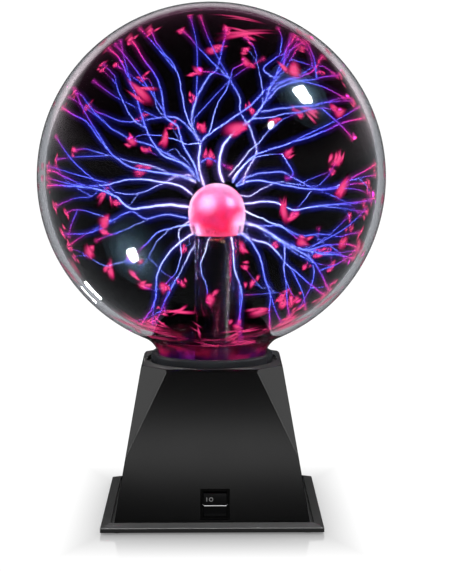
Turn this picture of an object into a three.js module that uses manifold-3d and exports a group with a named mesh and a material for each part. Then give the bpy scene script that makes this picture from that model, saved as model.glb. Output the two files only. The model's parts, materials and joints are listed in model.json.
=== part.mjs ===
// A desk plasma ball: an 8-inch gas-filled glass globe on a truncated-pyramid base.
// Millimetres, +Z up, the front faces -Y. The origin is under the middle of the base,
// on the surface that the rubber feet stand on.
import * as THREE from 'three';
import Module from 'manifold-3d';
import { ConvexGeometry } from 'three/addons/geometries/ConvexGeometry.js';
import { mergeVertices } from 'three/addons/utils/BufferGeometryUtils.js';

const wasm = await Module();
wasm.setup();

// ---- driving dimensions -------------------------------------------------------------
const GAP = 0.3; // clearance kept between pieces that touch
const EPS = 1; // how far a cutter runs past the face that it opens

// plinth: the square plate under the housing
const FOOT_PROUD = 1.0; // height that the rubber feet lift the plinth by
const FOOT_R = 6;
const FOOT_AT = 53;
const PLINTH_HALF = 62.1;
const PLINTH_LIP_Z = FOOT_PROUD + 2.5; // top of the upright outer lip
const RIM_HALF = 56.6; // inner edge of the sloping border
const RIM_Z = FOOT_PROUD + 4.4;
const FLOOR_Z = FOOT_PROUD + 2.0; // top of the plinth's floor

// housing: a square pyramid cut off by an octagonal top
const HOUSING_BASE_Z = FLOOR_Z + GAP;
const HOUSING_BASE_HALF = 54.8;
const HOUSING_TOP_Z = 88.8;
const HOUSING_TOP_HALF = 40.1; // where the side planes reach the top's height
const TOP_BEVEL = 1.4; // height of the narrow bevel under the top's edges
const TOP_BEVEL_IN = 0.9;
const APEX_Z = 40.3; // where the corner facets run out on the pyramid's edges
const FACET_TOP = 45.9; // distance from the axis to a corner facet at the top
const WALL = 2.6;
const TOP_PLATE = 4.9;
const RECESS_R = 37.6; // round recess that the collar sits in
const RECESS_DEPTH = 2.4;
const COLLAR_HOLE_R = 34.3;

// screw posts in the housing's corners
const POST_AT = 44.2;
const POST_R = 4.2;
const POST_TOP_Z = 36;
const BOSS_TOP_Z = 6.0;
const SCREW_R = 1.45;
const SCREW_HEAD_R = 2.9;
const SCREW_TIP_Z = 21;

// globe
const GLOBE_R = 100;
const GLOBE_Z = 193.7;
const GLASS = 4.5;
const NECK_R = 30.6;
const NECK_GLASS = 3.0;
const NECK_BASE_Z = 74;
const NECK_FILLET = 16;

// collar that the neck is bonded into
const COLLAR_R = 35.3;
const COLLAR_BORE_R = 32.1;
const COLLAR_TOP_Z = 93.0;
const SKIRT_R = 34.0;
const SKIRT_BASE_Z = 76;
const NUT_R = 37.6;
const NUT_Z = [78, 83.6];

// stem: the re-entrant glass tube and its bulb, 3 mm to the right of the globe's axis
const STEM_X = 3;
const STEM_R = 13;
const STEM_GLASS = 1.8;
const STEM_DISC = 3;
const BULB_R = 15.7;
const BULB_Z = 174;
const ELECTRODE_BASE_Z = 160.9;
const ELECTRODE_WALL = 0.8;
const RIB_R = 8;
const RIB_VALLEY_R = 7.1;
const RIB_PITCH = 3.45;
const SLEEVE_Z = [88, 156.5];
const ROD_R = 1.5;

// switch on the front, in the frame of the sloping wall
const SWITCH_X = 1.6;
const SWITCH_Z = 14.7;
const SWITCH_CUT = [16, 17];
const SWITCH_WELL = [13.7, 14.6];
const ROCKER_W = 13.1;
const ROCKER_R = 7.0; // radius of the rocker's ends about its pivot
const ROCKER_PIVOT = -2.2; // depth of the pivot below the wall's face
const ROCKER_TILT = THREE.MathUtils.degToRad(10);
const CONTACT_TILT = THREE.MathUtils.degToRad(8);
const CONTACT_DEPTH = -11.8;

// power inlet on the back, in the frame of the sloping wall
const JACK_Z = 22;
const JACK_FLANGE_R = 6.8;
const JACK_BARREL_R = 5.2;
const JACK_BORE_R = 3.2;
const JACK_DEPTH = 14;

// circuit board
const BOARD = [76, 56, 1.6];
const BOARD_Z = 12;
const BOARD_TOP = BOARD_Z + BOARD[2] + GAP;
const STANDOFF_AT = [34, 24];

// ---- finishes -----------------------------------------------------------------------
const finish = (color, roughness, metalness = 0) => ({ color, roughness, metalness });
const GLOSS_BLACK = finish(0x1c1c1e, 0.3);
const COLLAR_BLACK = finish(0x2a2d30, 0.22);
const SWITCH_BLACK = finish(0x08080a, 0.35);
const RUBBER = finish(0x101010, 0.85);
const GLASS_CLEAR = finish(0xcfd6dc, 0.05);
const ELECTRODE_PINK = finish(0xff5a96, 0.5);
const RIBBED_BLACK = finish(0x0b0b0d, 0.45);
const STEEL = finish(0xb8babd, 0.3, 1);
const BRASS = finish(0xc9a55a, 0.35, 1);
const ALUMINIUM = finish(0xc6c8ca, 0.4, 1);
const BOARD_GREEN = finish(0x1f5a35, 0.5);
const FERRITE = finish(0x3a3a3c, 0.7);
const COPPER = finish(0xb5653a, 0.4, 0.8);
const SILICONE = finish(0xd8d8d4, 0.6);
const CAN_BLUE = finish(0x1d2f66, 0.35);
const WIRE_RED = finish(0xa81c1c, 0.5);
const WIRE_BLACK = finish(0x141414, 0.5);

// ---- shape helpers ------------------------------------------------------------------
const point = (x, y) => new THREE.Vector2(x, y);
const vec = (x, y, z) => new THREE.Vector3(x, y, z);

// A closed triangle mesh as a solid: shared corners merged, collapsed triangles dropped,
// and its faces turned outwards.
function solid(geometry) {
  const g = geometry.clone();
  g.deleteAttribute('normal');
  g.deleteAttribute('uv');
  const merged = mergeVertices(g, 1e-4);
  const p = merged.attributes.position.array;
  const index = merged.index.array;
  const tris = [];
  let volume = 0;
  for (let i = 0; i < index.length; i += 3) {
    const [a, b, c] = [index[i], index[i + 1], index[i + 2]];
    if (a === b || b === c || a === c) continue;
    tris.push(a, b, c);
    const [A, B, C] = [a, b, c].map((k) => vec(p[3 * k], p[3 * k + 1], p[3 * k + 2]));
    volume += A.dot(B.cross(C));
  }
  if (volume < 0) {
    for (let i = 0; i < tris.length; i += 3) {
      [tris[i + 1], tris[i + 2]] = [tris[i + 2], tris[i + 1]];
    }
  }
  return new wasm.Manifold(
    new wasm.Mesh({
      numProp: 3,
      vertProperties: new Float32Array(p),
      triVerts: new Uint32Array(tris),
    }),
  );
}

function geometryOf(body) {
  const { vertProperties, triVerts } = body.getMesh();
  const g = new THREE.BufferGeometry();
  g.setAttribute('position', new THREE.BufferAttribute(new Float32Array(vertProperties), 3));
  g.setIndex(new THREE.BufferAttribute(new Uint32Array(triVerts), 1));
  g.computeVertexNormals();
  return g;
}

// Adds and cuts: every argument is a geometry.
function build(base, { add = [], cut = [] }) {
  let body = solid(base);
  for (const g of add) body = body.add(solid(g));
  for (const g of cut) body = body.subtract(solid(g));
  return geometryOf(body);
}

function box(size, at) {
  return new THREE.BoxGeometry(...size).translate(...at);
}

// A block given by its lowest and highest corners.
function block(low, high) {
  const size = high.map((v, i) => v - low[i]);
  return box(size, low.map((v, i) => v + size[i] / 2));
}

function cylinder(r, z0, z1, { at = [0, 0], sides = 32, top = r } = {}) {
  return new THREE.CylinderGeometry(top, r, z1 - z0, sides)
    .rotateX(Math.PI / 2)
    .translate(at[0], at[1], (z0 + z1) / 2);
}

// A turned shape about the Z axis from [radius, height] pairs.
function turned(profile, sides = 32) {
  const points = profile.map(([r, z]) => point(r, z));
  return new THREE.LatheGeometry(points, sides).rotateX(Math.PI / 2);
}

function ring(inner, outer, z0, z1, sides = 32) {
  return turned([[inner, z0], [outer, z0], [outer, z1], [inner, z1], [inner, z0]], sides);
}

// Points of an arc about [cx, cz], ends included, angles in radians from the +r direction.
function arc(cx, cz, radius, from, to, steps) {
  return Array.from({ length: steps + 1 }, (_, i) => {
    const a = from + ((to - from) * i) / steps;
    return [cx + radius * Math.cos(a), cz + radius * Math.sin(a)];
  });
}

// A flat outline in the (Y, Z) plane, carried along X and centred on x = 0.
function prismAlongX(outline, width) {
  const shape = new THREE.Shape(outline.map(([y, z]) => point(y, z)));
  const g = new THREE.ExtrudeGeometry(shape, { depth: width, bevelEnabled: false });
  return g.translate(0, 0, -width / 2).rotateY(Math.PI / 2).rotateX(Math.PI / 2);
}

function roundSection(radius, sides) {
  const corners = Array.from({ length: sides }, (_, i) => {
    const a = (2 * Math.PI * i) / sides;
    return point(radius * Math.cos(a), radius * Math.sin(a));
  });
  return new THREE.Shape(corners);
}

function sweep(section, path, steps) {
  return new THREE.ExtrudeGeometry(section, { steps, extrudePath: path, bevelEnabled: false });
}

// A wire along a smooth curve through its points.
function wire(points, radius, steps) {
  const path = new THREE.CatmullRomCurve3(points.map((p) => vec(...p)));
  return sweep(roundSection(radius, 8), path, steps);
}

class Helix extends THREE.Curve {
  constructor(radius, z0, z1, turns) {
    super();
    Object.assign(this, { radius, z0, z1, turns });
  }

  getPoint(t) {
    const a = 2 * Math.PI * this.turns * t;
    const z = this.z0 + (this.z1 - this.z0) * t;
    return vec(this.radius * Math.cos(a), this.radius * Math.sin(a), z);
  }
}

function spring(radius, wire, z0, z1, turns) {
  const steps = Math.round(turns * 9);
  return sweep(roundSection(wire, 5), new Helix(radius, z0, z1, turns), steps);
}

const ball = new THREE.Group();

function part(name, geometry, look, parent = ball) {
  const mesh = new THREE.Mesh(geometry, new THREE.MeshStandardMaterial(look));
  mesh.name = name;
  parent.add(mesh);
  return mesh;
}

function nest(parent, placing) {
  const group = new THREE.Group();
  placing(group);
  parent.add(group);
  return group;
}

// Each sign pair once: the four corners of the base.
const CORNERS = [[-1, -1], [1, -1], [1, 1], [-1, 1]];

// A cheese-head screw with a cross recess, its head down and its tip towards +Z.
function crossScrew(headR, headH, shaftR, length, at, z0) {
  const head = cylinder(headR, z0, z0 + headH, { at, sides: 12 });
  const shaft = cylinder(shaftR, z0 + headH / 2, z0 + length, { at, sides: 8 });
  const slot = [headR * 1.2, headR * 0.28, headH];
  const cuts = [slot, [slot[1], slot[0], slot[2]]];
  return build(head, { add: [shaft], cut: cuts.map((s) => box(s, [...at, z0])) });
}

// ---- the pyramid's planes -----------------------------------------------------------
const SLOPE = (HOUSING_BASE_HALF - HOUSING_TOP_HALF) / (HOUSING_TOP_Z - HOUSING_BASE_Z);
const LEAN = Math.atan(SLOPE);
const halfAt = (z) => HOUSING_TOP_HALF + SLOPE * (HOUSING_TOP_Z - z);
const FACET_SLOPE = (Math.SQRT2 * halfAt(APEX_Z) - FACET_TOP) / (HOUSING_TOP_Z - APEX_Z);
const facetAt = (z) => FACET_TOP + FACET_SLOPE * (HOUSING_TOP_Z - z);

// Eight corners of the octagon at one height, for side planes at `half` from the axis and
// facets at `facet` from it.
function octagon(half, facet, z) {
  const edge = Math.SQRT2 * facet - half;
  return CORNERS.flatMap(([sx, sy]) => [
    vec(sx * half, sy * edge, z),
    vec(sx * edge, sy * half, z),
  ]);
}

const square = (half, z) => CORNERS.map(([sx, sy]) => vec(sx * half, sy * half, z));

// The housing's outside, or with inset > 0 the hollow that many millimetres inside it.
function pyramid(z0, z1, inset) {
  const side = (z) => halfAt(z) - inset;
  const facet = (z) => facetAt(z) - inset;
  // the height at which the inset facets meet the inset corner edge
  const excess = Math.SQRT2 * side(APEX_Z) - facet(APEX_Z);
  const apex = APEX_Z - excess / (FACET_SLOPE - Math.SQRT2 * SLOPE);
  const corners = [...square(side(z0), z0), ...square(side(apex), apex)];
  if (inset > 0) {
    corners.push(...octagon(side(z1), facet(z1), z1));
  } else {
    const shoulder = z1 - TOP_BEVEL;
    corners.push(...octagon(side(shoulder), facet(shoulder), shoulder));
    corners.push(...octagon(side(z1) - TOP_BEVEL_IN, facet(z1), z1));
  }
  return new ConvexGeometry(corners);
}

// A frame on the outside of the front wall: X to the right, Y up the wall, Z out of it.
function frontFrame(x, z) {
  const frame = new THREE.Matrix4().makeRotationX(Math.PI / 2 - LEAN);
  return frame.setPosition(x, -halfAt(z), z);
}

function backFrame(x, z) {
  return new THREE.Matrix4().makeRotationZ(Math.PI).multiply(frontFrame(-x, z));
}

const SWITCH_FRAME = frontFrame(SWITCH_X, SWITCH_Z);
const JACK_FRAME = backFrame(0, JACK_Z);
const onPanel = (frame) => (group) => group.applyMatrix4(frame);

// ---- base ---------------------------------------------------------------------------
function plinthPlate() {
  const outer = [...square(PLINTH_HALF, FOOT_PROUD), ...square(PLINTH_HALF, PLINTH_LIP_Z)];
  const hull = new ConvexGeometry([...outer, ...square(RIM_HALF, RIM_Z)]);
  const tray = block([-RIM_HALF, -RIM_HALF, FLOOR_Z], [RIM_HALF, RIM_HALF, RIM_Z + EPS]);
  const add = [];
  const cut = [];
  for (const [sx, sy] of CORNERS) {
    const post = [sx * POST_AT, sy * POST_AT];
    const foot = [sx * FOOT_AT, sy * FOOT_AT];
    const standoff = [sx * STANDOFF_AT[0], sy * STANDOFF_AT[1]];
    add.push(cylinder(5, FLOOR_Z - EPS, BOSS_TOP_Z, { at: post, sides: 12 }));
    add.push(cylinder(3, FLOOR_Z - EPS, BOARD_Z - GAP, { at: standoff, sides: 10 }));
    cut.push(cylinder(SCREW_HEAD_R + GAP, 0, BOSS_TOP_Z - 2, { at: post, sides: 12 }));
    cut.push(cylinder(SCREW_R + GAP, 0, BOSS_TOP_Z + EPS, { at: post, sides: 8 }));
    cut.push(cylinder(FOOT_R + GAP, 0, FLOOR_Z - 1, { at: foot, sides: 16 }));
    cut.push(cylinder(1.4, FLOOR_Z + 1, BOARD_Z + EPS, { at: standoff, sides: 8 }));
  }
  // two rows of cooling slots
  for (let i = -2; i <= 2; i++) {
    for (const sy of [-1, 1]) {
      cut.push(box([2, 14, 6], [i * 8, sy * 12, FLOOR_Z]));
    }
  }
  // the tray is cut before the bosses and standoffs are added
  const plate = build(hull, { cut: [tray] });
  return build(plate, { add, cut });
}

function housingShell() {
  const inside = pyramid(HOUSING_BASE_Z - EPS, HOUSING_TOP_Z - TOP_PLATE, WALL);
  const shell = build(pyramid(HOUSING_BASE_Z, HOUSING_TOP_Z, 0), { cut: [inside] });
  const posts = CORNERS.map(([sx, sy]) => {
    const at = [sx * POST_AT, sy * POST_AT];
    return cylinder(POST_R, BOSS_TOP_Z + GAP, POST_TOP_Z, { at, sides: 12 });
  });
  const pilots = CORNERS.map(([sx, sy]) => {
    const at = [sx * POST_AT, sy * POST_AT];
    return cylinder(SCREW_R + GAP, BOSS_TOP_Z - EPS, SCREW_TIP_Z + EPS, { at, sides: 8 });
  });
  const pegs = [-1, 1].map((s) => {
    const peg = cylinder(0.9, -5, -WALL + 0.6, { at: [s * 9.8, 0], sides: 8 });
    return peg.applyMatrix4(SWITCH_FRAME);
  });
  const window = box([...SWITCH_CUT, 12], [0, 0, 0]).applyMatrix4(SWITCH_FRAME);
  const inlet = cylinder(JACK_BARREL_R + GAP, -6, 6, { sides: 24 }).applyMatrix4(JACK_FRAME);
  const recessZ = HOUSING_TOP_Z - RECESS_DEPTH;
  return build(shell, {
    add: [...posts, ...pegs],
    cut: [
      ...pilots,
      window,
      inlet,
      cylinder(RECESS_R, recessZ, HOUSING_TOP_Z + EPS, { sides: 40 }),
      cylinder(COLLAR_HOLE_R, HOUSING_TOP_Z - TOP_PLATE - EPS, HOUSING_TOP_Z, { sides: 40 }),
    ],
  });
}

part('plinth_plate', plinthPlate(), GLOSS_BLACK);
part('base_housing', housingShell(), GLOSS_BLACK);
CORNERS.forEach(([sx, sy], i) => {
  const foot = cylinder(FOOT_R, 0, FLOOR_Z - 1 - GAP, {
    at: [sx * FOOT_AT, sy * FOOT_AT],
    sides: 16,
  });
  part(`rubber_foot_${i + 1}`, foot, RUBBER);
  const at = [sx * POST_AT, sy * POST_AT];
  const z0 = FOOT_PROUD + 0.7;
  const screw = crossScrew(SCREW_HEAD_R, 2, SCREW_R, SCREW_TIP_Z - z0, at, z0);
  part(`plinth_screw_${i + 1}`, screw, STEEL);
});

// ---- globe and collar ---------------------------------------------------------------
// Outline of the sphere with its neck: up the neck, round the fillet, and over the sphere.
function globeOutline(radius, neck, fillet, neckZ, sphereSteps) {
  const cx = neck + fillet;
  const cz = GLOBE_Z - Math.sqrt((radius + fillet) ** 2 - cx ** 2);
  const meet = Math.atan2(cz - GLOBE_Z, cx); // angle at which fillet and sphere meet
  return [
    [neck, neckZ],
    ...arc(cx, cz, fillet, Math.PI, meet + Math.PI, 5),
    ...arc(0, GLOBE_Z, radius, meet, Math.PI / 2, sphereSteps).slice(1, -1),
    [0, GLOBE_Z + radius],
  ];
}

function glassGlobe() {
  const outside = globeOutline(GLOBE_R, NECK_R, NECK_FILLET, NECK_BASE_Z, 17);
  const fillet = NECK_FILLET + GLASS;
  const inside = globeOutline(GLOBE_R - GLASS, NECK_R - NECK_GLASS, fillet, NECK_BASE_Z, 14);
  return turned([...outside, ...inside.reverse(), outside[0]], 36);
}

function neckCollar() {
  const rim = (COLLAR_R - COLLAR_BORE_R) / 2;
  const crown = arc(COLLAR_BORE_R + rim, COLLAR_TOP_Z - rim, rim, 0, Math.PI, 5);
  const seatZ = HOUSING_TOP_Z - RECESS_DEPTH + GAP;
  const start = [COLLAR_BORE_R, SKIRT_BASE_Z];
  const skirt = [[SKIRT_R, SKIRT_BASE_Z], [SKIRT_R, seatZ], [COLLAR_R, seatZ]];
  return turned([start, ...skirt, ...crown, start], 36);
}

function collarNut() {
  const notches = [0, 1, 2, 3, 4, 5].map((i) => {
    const a = (i * Math.PI) / 3;
    return box([3, 4, 12], [0, 0, 0])
      .rotateZ(a)
      .translate(NUT_R * Math.cos(a), NUT_R * Math.sin(a), NUT_Z[0]);
  });
  return build(ring(SKIRT_R + GAP, NUT_R, ...NUT_Z, 32), { cut: notches });
}

part('glass_globe', glassGlobe(), GLASS_CLEAR);
part('neck_collar', neckCollar(), COLLAR_BLACK);
part('collar_nut', collarNut(), GLOSS_BLACK);
part('neck_adhesive', ring(NECK_R + GAP, COLLAR_BORE_R - GAP, 77, 87, 32), SILICONE);

// ---- stem and electrode -------------------------------------------------------------
const stem = nest(ball, (group) => group.position.set(STEM_X, 0, 0));

// The bulb's outline from its lower edge to the crown: a ball whose lower half blends
// into the tube.
function bulbOutline(radius, neck, baseZ, steps) {
  const drop = BULB_Z - baseZ;
  const lower = Array.from({ length: 4 }, (_, i) => {
    const t = 1 - i / 4; // 1 at the lower edge, 0 at the widest
    return [radius - (radius - neck) * t * t, BULB_Z - drop * t];
  });
  const crown = arc(0, BULB_Z, radius, 0, Math.PI / 2, steps).slice(0, -1);
  return [...lower, ...crown, [0, BULB_Z + radius]];
}

function glassStem() {
  const discZ = NECK_BASE_Z + 0.5;
  const outside = bulbOutline(BULB_R, STEM_R, ELECTRODE_BASE_Z - 3, 6);
  const inner = BULB_R - STEM_GLASS;
  const inside = bulbOutline(inner, STEM_R - STEM_GLASS, ELECTRODE_BASE_Z - 3, 6);
  const bore = STEM_R - STEM_GLASS;
  const start = [bore, discZ];
  const profile = [start, [STEM_R, discZ], ...outside, ...inside.reverse(), start];
  const disc = cylinder(NECK_R - NECK_GLASS - GAP, discZ, discZ + STEM_DISC, {
    at: [-STEM_X, 0],
    sides: 32,
  });
  // the sealed pumping tip under the disc
  const tip = cylinder(1, NECK_BASE_Z - 7, discZ + 1, { at: [-20, 0], sides: 12, top: 3 });
  const hole = cylinder(bore, discZ - EPS, discZ + STEM_DISC + EPS, { sides: 20 });
  const seat = build(disc, { add: [tip], cut: [hole] });
  return build(turned(profile, 20), { add: [seat] });
}

function electrode() {
  const outer = BULB_R - STEM_GLASS - GAP;
  const tubeR = STEM_R - STEM_GLASS - GAP + 0.5;
  const outside = bulbOutline(outer, tubeR, ELECTRODE_BASE_Z, 6);
  const inside = bulbOutline(outer - ELECTRODE_WALL, tubeR - ELECTRODE_WALL, ELECTRODE_BASE_Z, 6);
  return turned([...outside, ...inside.reverse(), outside[0]], 20);
}

function ribbedSleeve() {
  const [z0, z1] = SLEEVE_Z;
  const bore = ROD_R + GAP;
  const ribs = [];
  for (let z = z0 + 6; z < z1 - RIB_PITCH; z += RIB_PITCH) {
    ribs.push([RIB_VALLEY_R, z], [RIB_R, z + RIB_PITCH * 0.3], [RIB_R, z + RIB_PITCH * 0.6]);
  }
  const start = [bore, z0];
  const foot = [[STEM_R - STEM_GLASS - GAP, z0], [STEM_R - STEM_GLASS - GAP, z0 + 4]];
  const profile = [start, ...foot, [RIB_R, z0 + 4], ...ribs, [RIB_VALLEY_R, z1], [bore, z1], start];
  return turned(profile, 12);
}

// Contact rod with a flat head that the spring stands on.
function contactRod() {
  const headZ = SLEEVE_Z[1] + GAP;
  return turned([
    [0, 71],
    [ROD_R, 71],
    [ROD_R, headZ],
    [5, headZ],
    [5, headZ + 1.5],
    [0, headZ + 1.5],
  ], 12);
}

const ROD_HEAD_Z = SLEEVE_Z[1] + GAP + 1.5;
part('glass_stem', glassStem(), GLASS_CLEAR, stem);
part('electrode_bulb', electrode(), ELECTRODE_PINK, stem);
part('ribbed_sleeve', ribbedSleeve(), RIBBED_BLACK, stem);
part('contact_rod', contactRod(), BRASS, stem);
part('contact_spring', spring(4, 0.5, ROD_HEAD_Z + 0.9, 184.4, 5), STEEL, stem);
part('stem_plug', ring(ROD_R + GAP, STEM_R - STEM_GLASS - GAP, 76, 87.7, 24), RUBBER, stem);

// ---- circuit board and high-voltage supply ------------------------------------------
function driverBoard() {
  const [w, d, t] = BOARD;
  const holes = CORNERS.map(([sx, sy]) => {
    const at = [sx * STANDOFF_AT[0], sy * STANDOFF_AT[1]];
    return cylinder(1.6, BOARD_Z - EPS, BOARD_Z + t + EPS, { at, sides: 8 });
  });
  return build(box([w, d, t], [0, 0, BOARD_Z + t / 2]), { cut: holes });
}

part('driver_board', driverBoard(), BOARD_GREEN);
CORNERS.forEach(([sx, sy], i) => {
  // seen from above, so the screw is turned head up
  const screw = crossScrew(2.6, 1.6, 1.1, 8, [0, 0], 0)
    .rotateX(Math.PI)
    .translate(sx * STANDOFF_AT[0], sy * STANDOFF_AT[1], BOARD_TOP + 1.6);
  part(`board_screw_${i + 1}`, screw, STEEL);
});

// Flyback transformer: two U-shaped ferrites facing each other, the high-voltage coil on
// the left legs and the drive coil on the right ones.
const CORE_LEG = 9;
const CORE_LEG_X = 11.5;
const CORE_Y = 6;
const CORE_YOKE = 8;
const CORE_HALF_H = 18;

function coreHalf(z0) {
  const w = CORE_LEG_X + CORE_LEG / 2;
  const base = block([-w, CORE_Y - 4.5, z0], [w, CORE_Y + 4.5, z0 + CORE_HALF_H]);
  const half = CORE_LEG_X - CORE_LEG / 2;
  const slot = block([-half, CORE_Y - 9, z0 + CORE_YOKE], [half, CORE_Y + 9, z0 + 30]);
  return build(base, { cut: [slot] });
}

const CORE_SPLIT_Z = BOARD_TOP + CORE_HALF_H;
const COIL_Z = [BOARD_TOP + CORE_YOKE + GAP, CORE_SPLIT_Z + GAP + CORE_HALF_H - CORE_YOKE - GAP];
const lowerCore = coreHalf(BOARD_TOP);
const upperCore = coreHalf(BOARD_TOP)
  .rotateY(Math.PI)
  .translate(0, 0, 2 * CORE_SPLIT_Z + GAP);

function bobbin() {
  const [z0, z1] = COIL_Z;
  return turned([
    [6.7, z0],
    [10.8, z0],
    [10.8, z0 + 1.2],
    [7.5, z0 + 1.2],
    [7.5, z1 - 1.2],
    [10.8, z1 - 1.2],
    [10.8, z1],
    [6.7, z1],
    [6.7, z0],
  ], 24);
}

const leftLeg = nest(ball, (group) => group.position.set(-CORE_LEG_X, CORE_Y, 0));
const rightLeg = nest(ball, (group) => group.position.set(CORE_LEG_X, CORE_Y, 0));
part('ferrite_core_lower', lowerCore, FERRITE);
part('ferrite_core_upper', upperCore, FERRITE);
part('coil_bobbin', bobbin(), SWITCH_BLACK, leftLeg);
part('secondary_winding', ring(7.8, 10.3, COIL_Z[0] + 1.5, COIL_Z[1] - 1.5, 24), COPPER, leftLeg);
part('primary_winding', ring(6.7, 8.2, COIL_Z[0] + 4, COIL_Z[1] - 4, 20), COPPER, rightLeg);

// Heatsink: an upright plate with fins, and the transistor screwed to it.
function heatsink() {
  const fins = [-8, -4, 0, 4, 8].map((y) => block([-36, y - 0.7, BOARD_TOP], [-28, y + 0.7, 42]));
  const hole = cylinder(1.8, -5, 5, { sides: 12 }).rotateY(Math.PI / 2).translate(-28, 2, 36);
  return build(block([-29, -10, BOARD_TOP], [-27, 10, 42]), { add: fins, cut: [hole] });
}

function transistor() {
  const tab = block([-26.7, -5, 24], [-25.4, 5, 40]);
  const body = block([-26, -5, 20], [-22.2, 5, 30]);
  const legs = [-2.5, 0, 2.5].map((y) => block([-25, y - 0.4, BOARD_TOP], [-24.4, y + 0.4, 21]));
  const hole = cylinder(1.8, -5, 5, { sides: 12 }).rotateY(Math.PI / 2).translate(-26, 2, 36);
  return build(tab, { add: [body, ...legs], cut: [hole] });
}

part('heatsink', heatsink(), ALUMINIUM);
part('power_transistor', transistor(), SWITCH_BLACK);
part('transistor_screw', crossScrew(2.6, 1.6, 1.4, 5.2, [0, 0], 0)
  .rotateY(-Math.PI / 2)
  .translate(-23.4, 2, 36), STEEL);
part('filter_capacitor', cylinder(6, BOARD_TOP, BOARD_TOP + 18, { at: [29, -8], sides: 20 }), CAN_BLUE);
part('tuning_capacitor', block([22, 12, BOARD_TOP], [27, 25, BOARD_TOP + 11]), WIRE_RED);

// ---- power switch -------------------------------------------------------------------
const panel = nest(ball, onPanel(SWITCH_FRAME));

function switchBody() {
  const [w, h] = SWITCH_WELL;
  const outer = [w / 2 + 0.85, h / 2 + 0.9];
  const frame = block([-outer[0], -outer[1], -16.5], [outer[0], outer[1], 0]);
  const flange = block([-11.6, -10.4, -4.4], [11.6, 10.4, -WALL - GAP]);
  const well = block([-w / 2, -h / 2, -15], [w / 2, h / 2, EPS]);
  const pivot = cylinder(1.2, -8.2, 8.2, { sides: 16 }).rotateY(Math.PI / 2);
  const pegHoles = [-1, 1].map((s) => cylinder(1.2, -6, 0, { at: [s * 9.8, 0], sides: 12 }));
  const slots = [0, 4].map((v) => block([-1.8, v - 0.7, -18], [1.8, v + 0.7, -14]));
  return build(frame, {
    add: [flange],
    cut: [well, pivot.translate(0, 0, ROCKER_PIVOT), ...pegHoles, ...slots],
  });
}

// The rocker about its own pivot: two flat faces meeting in a low ridge, round ends, a
// hollow stem for the plunger and a pin at each side.
function rocker() {
  const ridge = 3.5;
  const slope = Math.tan(ROCKER_TILT);
  const k = 1 + slope * slope;
  const reach = (ridge * slope + Math.sqrt(k * ROCKER_R ** 2 - ridge ** 2)) / k;
  const edge = Math.atan2(ridge - slope * reach, reach);
  const low = -0.36;
  const right = arc(0, 0, ROCKER_R, low, edge, 5);
  const left = arc(0, 0, ROCKER_R, Math.PI - edge, Math.PI - low, 5);
  const cap = prismAlongX([...right, [0, ridge], ...left], ROCKER_W);
  const pins = cylinder(0.9, -7.5, 7.5, { sides: 12 }).rotateY(Math.PI / 2);
  const stemTube = block([-2.2, -2.2, -7.2], [2.2, 2.2, 0]);
  const bore = cylinder(1.5, -9, -2, { sides: 12 });
  return build(cap, { add: [pins, stemTube], cut: [bore] });
}

const pivotPlace = nest(panel, (group) => {
  group.position.z = ROCKER_PIVOT;
  group.rotation.x = ROCKER_TILT;
});
const plunger = turned([[0, -9.05], [0.8, -8.7], [1.2, -8], [1.2, -5.6], [0, -5.6]], 12);
const contactPlace = nest(panel, (group) => {
  group.position.z = CONTACT_DEPTH;
  group.rotation.x = -CONTACT_TILT;
});
part('switch_body', switchBody(), SWITCH_BLACK, panel);
part('switch_rocker', rocker(), SWITCH_BLACK, pivotPlace);
part('switch_plunger', plunger, BRASS, pivotPlace);
part('plunger_spring', spring(0.75, 0.22, -5, -2.5, 4), STEEL, pivotPlace);
part('switch_contact', box([3, 10, 0.5], [0, 0, 0]), BRASS, contactPlace);
part('switch_terminal_common', block([-1.5, -0.4, -22], [1.5, 0.4, -12.4]), BRASS, panel);
part('switch_terminal_load', block([-1.5, 3.6, -22], [1.5, 4.4, -13.2]), BRASS, panel);

// ---- power inlet --------------------------------------------------------------------
const inlet = nest(ball, onPanel(JACK_FRAME));

function jackBody() {
  const barrel = cylinder(JACK_BARREL_R, -JACK_DEPTH, 1, { sides: 24 });
  const flange = cylinder(JACK_FLANGE_R, GAP, 2, { sides: 24 });
  const bore = cylinder(JACK_BORE_R, -JACK_DEPTH + 2.5, 3, { sides: 20 });
  const pinHole = cylinder(1.3, -JACK_DEPTH - 1, 0, { sides: 12 });
  // slot in the barrel's wall that the spring leaf moves into
  const leafSlot = block([-1.6, 2, -JACK_DEPTH - 1], [1.6, 4.6, -1]);
  return build(barrel, { add: [flange], cut: [bore, pinHole, leafSlot] });
}

function jackNut() {
  const hex = cylinder(8, -5.4, -WALL - GAP, { sides: 6 });
  return build(hex, { cut: [cylinder(JACK_BARREL_R + GAP, -8, 0, { sides: 24 })] });
}

// The leaf lies along the bore with a raised end that presses on the plug's sleeve.
function jackLeaf() {
  const outline = [
    [3.3, -JACK_DEPTH - 3],
    [3.7, -JACK_DEPTH - 3],
    [3.7, -8],
    [2.9, -4],
    [3.7, -2],
    [3.3, -2],
    [2.5, -4],
    [3.3, -8],
  ];
  return prismAlongX(outline, 2.4);
}

part('dc_jack_body', jackBody(), SWITCH_BLACK, inlet);
part('dc_jack_nut', jackNut(), STEEL, inlet);
part('dc_jack_pin', cylinder(1, -JACK_DEPTH - 3, 0.5, { sides: 12 }), BRASS, inlet);
part('dc_jack_leaf', jackLeaf(), STEEL, inlet);

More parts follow.
